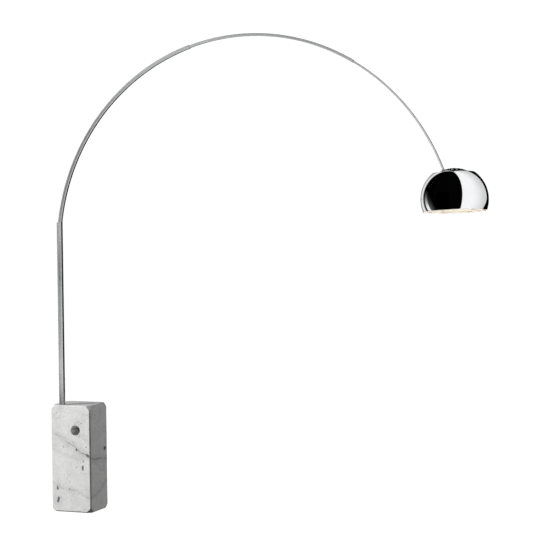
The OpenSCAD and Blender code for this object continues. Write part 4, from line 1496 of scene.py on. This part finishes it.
@dataclass
class Studio:
    """Camera, pale floor, white surround and soft light."""

    eye: Point = (4.2542, -8.2751, 1.6287)
    # The camera's heading from +Y, its tilt from straight down, and its roll
    heading_deg: float = 21.183437
    tilt_deg: float = 87.645854
    roll_deg: float = -0.566988
    lens: float = 121.52
    reach: float = 60.0
    floor_light: float = 1.0
    floor_diffuse: float = 0.22
    backdrop_light: float = 1.05
    fill_light: float = 0.035
    # Azimuth in degrees (nought at -Y, ninety at +X) and brightness of what stands round the set
    surround: tuple[tuple[float, float], ...] = (
        (-180.0, 0.001), (-156.0, 0.001), (-153.0, 0.38), (-134.0, 0.38), (-131.0, 0.76), (-119.0, 0.76),
        (-115.0, 0.30), (-112.0, 0.001), (-104.5, 0.001), (-102.5, 0.90), (-90.5, 0.80), (-88.5, 0.10),
        (-76.0, 0.03), (-66.0, 0.001), (40.8, 0.001), (42.2, 0.92), (80.0, 0.94), (92.0, 0.89), (110.0, 0.78),
        (124.0, 0.68), (138.0, 0.63), (150.5, 0.62), (152.5, 0.001), (180.0, 0.001))
    surround_strength: float = 1.2
    # From and to which azimuth a low strip takes over, how bright it is, and the heights between which it fades
    low_panel: tuple[float, float] = (-108.0, -60.0)
    low_strength: float = 1.1
    low_fade: tuple[float, float] = (-0.25, 0.3)
    # The bright panel before the lamp: two corners in x and z, its y, its light, and softly shaded spots on it
    panel: tuple[tuple[float, float], tuple[float, float], float] = ((-4.4, -1.6), (1.6, 4.2), -5.4)
    panel_light: float = 1.5
    panel_shades: tuple[tuple[float, float, float, float], ...] = (
        (-2.75, 2.0, 1.2, 1.0), (-2.9, 0.45, 1.1, 0.7), (-0.65, 2.95, 1.2, 0.7))
    # Black flags, by their corners in metres: two upright ones behind the lamp and one level one under the arc
    flags: tuple[tuple[str, tuple[Point, Point, Point, Point]], ...] = (
        ("far_flag", ((0.9, 3.6, -1.0), (3.9, 3.6, -1.0), (3.9, 3.6, 2.3), (0.9, 3.6, 2.3))),
        ("low_flag", ((3.9, 3.6, -1.0), (6.0, 3.6, -1.0), (5.6, 3.6, 0.4), (3.9, 3.6, 1.75))),
        ("level_flag", ((-2.5, 1.2, 1.6), (1.4, 1.2, 1.6), (1.4, 4.5, 1.6), (-2.5, 4.5, 1.6))))
    lean_axis: Point = (0.9316, 0.3611, 0.0)
    lean_deg: float = 18.0
    softboxes: tuple[Softbox, ...] = (
        Softbox("key", (-4.4, -3.9, 3.2), (0.0, 0.0, 0.4), 1.8, 570.0),
        Softbox("rim", (4.5, 4.8, 1.7), (0.0, 0.0, 0.3), 2.0, 172.0),
    )

    def camera(self) -> None:
        """Sets the camera up."""
        data = bpy.data.cameras.new("camera")
        data.lens, data.sensor_width = self.lens, 36.0
        data.clip_start, data.clip_end = 0.1, 400.0
        eye = bpy.data.objects.new("camera", data)
        turn = Matrix.Identity(4)
        for degrees, axis in ((self.heading_deg, "Z"), (self.tilt_deg, "X"), (self.roll_deg, "Z")):
            turn = turn @ Matrix.Rotation(math.radians(degrees), 4, axis)
        eye.matrix_world = Matrix.Translation(self.eye) @ turn
        bpy.context.scene.collection.objects.link(eye)
        bpy.context.scene.camera = eye

    def surround_light(self) -> None:
        """Lays the soft bright and dark areas of the studio round the horizon, for reflections only."""
        world = bpy.data.worlds.new("studio")
        bpy.context.scene.world = world
        world.use_nodes = True
        tree = world.node_tree
        back = tree.nodes["Background"]
        way = put(tree, "ShaderNodeTexCoord").outputs["Generated"]
        rise = put(tree, "ShaderNodeSeparateXYZ", {0: way}).outputs[2]
        # The strips meet beyond the zenith, because the real flats lean back over the set
        way = put(tree, "ShaderNodeVectorRotate", {"Vector": way, "Axis": self.lean_axis,
                                                   "Angle": math.radians(self.lean_deg)}).outputs[0]
        axes = put(tree, "ShaderNodeSeparateXYZ", {0: way}).outputs
        front = put(tree, "ShaderNodeMath", {0: axes[1], 1: -1.0}, operation="MULTIPLY").outputs[0]
        turn = put(tree, "ShaderNodeMath", {0: axes[0], 1: front}, operation="ARCTAN2").outputs[0]
        share = put(tree, "ShaderNodeMath", {0: turn, 1: 1 / math.tau, 2: 0.5}, operation="MULTIPLY_ADD").outputs[0]
        ramp = put(tree, "ShaderNodeValToRGB", {0: share})
        stops = ramp.color_ramp.elements
        while len(stops) > 1:
            stops.remove(stops[-1])
        for number, (azimuth, bright) in enumerate(self.surround):
            stop = stops[0] if number == 0 else stops.new((azimuth + 180) / 360)
            stop.position = (azimuth + 180) / 360
            stop.color = (bright, bright, bright, 1.0)
        low = put(tree, "ShaderNodeMapRange", {"Value": rise, "From Min": self.low_fade[0],
                                               "From Max": self.low_fade[1], "To Min": self.low_strength,
                                               "To Max": 0.0}).outputs[0]
        low = put(tree, "ShaderNodeMath", {0: low, 1: 2.2}, operation="POWER").outputs[0]
        side = put(tree, "ShaderNodeMapRange", {"Value": share, "From Min": self.low_panel[0] / 360 + 0.5,
                                                "From Max": self.low_panel[1] / 360 + 0.5}, clamp=False).outputs[0]
        inside = put(tree, "ShaderNodeMath", {0: side, 1: 0.5, 2: 0.5}, operation="COMPARE").outputs[0]
        dim = put(tree, "ShaderNodeMix", {0: inside, 2: self.surround_strength, 3: low}, data_type="FLOAT").outputs[0]
        tree.links.new(ramp.outputs[0], back.inputs["Color"])
        tree.links.new(dim, back.inputs["Strength"])
        world.cycles_visibility.diffuse = False
        world.cycles_visibility.camera = False

    def plain(self, name: str, bright: float, diffuse: float) -> bpy.types.Material:
        """Makes the pale material of the floor and the backdrop.

        Args:
            name: The material's name.
            bright: Its own light.
            diffuse: How much it takes from the lamps, which draws the soft shadow.

        Returns:
            The material.
        """
        made = bpy.data.materials.new(name)
        made.use_nodes = True
        shader = made.node_tree.nodes["Principled BSDF"]
        shader.inputs["Base Color"].default_value = (diffuse, diffuse, diffuse, 1.0)
        shader.inputs["Roughness"].default_value = 1.0
        shader.inputs["Specular IOR Level"].default_value = 0.0
        shader.inputs["Emission Color"].default_value = (1.0, 1.0, 1.0, 1.0)
        shader.inputs["Emission Strength"].default_value = bright
        return made

    def flat(self, name: str, corners: Sequence[Point], finish: bpy.types.Material) -> bpy.types.Object:
        """Makes a flat stage piece.

        Args:
            name: Its name.
            corners: Its corners in metres.
            finish: Its material.

        Returns:
            The piece.
        """
        made = build(name, [tuple(c / MM for c in corner) for corner in corners], [tuple(range(len(corners)))])
        made.data.materials.append(finish)
        return made

    def stand(self) -> None:
        """Lays the floor and hangs the backdrop and the fill, none of which shows in reflections."""
        far = self.reach
        floor = self.flat("floor", [(-far, -far, 0.0), (far, -far, 0.0), (far, far, 0.0), (-far, far, 0.0)],
                          self.plain("pale_floor", self.floor_light, self.floor_diffuse))
        dome = [(0.0, -far)] + [(far * math.cos(a), far * math.sin(a)) for a in
                                (math.radians(-90 + 10 * k) for k in range(1, 18))] + [(0.0, far)]
        shells = []
        for name, bright in (("backdrop", self.backdrop_light), ("fill", self.fill_light)):
            shell = build(name, *lathe([(r / MM, z / MM) for r, z in dome], 36, closed=False))
            shell.data.materials.append(self.plain(name + "_white", bright, 0.0))
            shells.append(shell)
        backdrop, fill = shells
        for piece in (floor, backdrop, fill):
            piece.visible_glossy = piece.visible_transmission = piece.visible_shadow = False
            piece.visible_diffuse = False
        fill.visible_camera, fill.visible_diffuse = False, True

    def flats(self, spared: bpy.types.Collection) -> None:
        """Stands up what only the brushed steel and the dome mirror: a bright panel and black flags.

        Args:
            spared: Pieces that the panel leaves alone.
        """
        for name, corners in self.flags:
            self.hide_but_mirrored(self.flat(name, corners, self.plain(name + "_black", 0.0, 0.0)))
        (x0, z0), (x1, z1), y = self.panel
        glow = self.plain("front_panel_light", 1.0, 0.0)
        tree = glow.node_tree
        shader = tree.nodes["Principled BSDF"]
        place = put(tree, "ShaderNodeTexCoord").outputs["Object"]
        bright = self.panel_light
        for x, z, reach, loss in self.panel_shades:
            off = put(tree, "ShaderNodeVectorMath", {0: place, 1: (x, y, z)}, operation="DISTANCE").outputs["Value"]
            kept = put(tree, "ShaderNodeMapRange", {"Value": off, "From Min": 0.35 * reach, "From Max": reach,
                                                    "To Min": 1 - loss, "To Max": 1.0},
                       interpolation_type="SMOOTHSTEP").outputs[0]
            bright = put(tree, "ShaderNodeMath", {0: kept, 1: bright}, operation="MULTIPLY").outputs[0]
        tree.links.new(bright, shader.inputs["Emission Strength"])
        panel = self.flat("front_panel", [(x0, y, z0), (x1, y, z0), (x1, y, z1), (x0, y, z1)], glow)
        self.hide_but_mirrored(panel)
        panel.light_linking.receiver_collection = spared

    def hide_but_mirrored(self, piece: bpy.types.Object) -> None:
        """Leaves a stage piece visible in reflections only."""
        piece.visible_camera = piece.visible_diffuse = piece.visible_transmission = piece.visible_shadow = False

    def make(self) -> None:
        """Sets up camera, surround, floor and lights; the lights leave the mirror pieces alone."""
        self.camera()
        self.surround_light()
        self.stand()
        spared = bpy.data.collections.new("mirror_pieces")
        for name in ("reflector", "cap"):
            spared.objects.link(bpy.data.objects[name])
        for member in spared.collection_objects:
            member.light_linking.link_state = "EXCLUDE"
        for box in self.softboxes:
            box.make(spared)
        self.flats(spared)
        view = bpy.context.scene.view_settings
        view.view_transform, view.look = "Standard", "None"


def main() -> None:
    """Builds the lamp and the studio, and reports each piece."""
    logging.basicConfig(level=logging.INFO, format="%(name)s: %(message)s")
    copies, arcs, vents = set_out_recipe(), sweep_recipe(), perforate_recipe()
    Base().make(copies)
    Post().make(copies)
    Arc().make(arcs)
    Head().make(vents)
    Reflector().make()
    Studio().make()


if __name__ == "__main__":
    main()
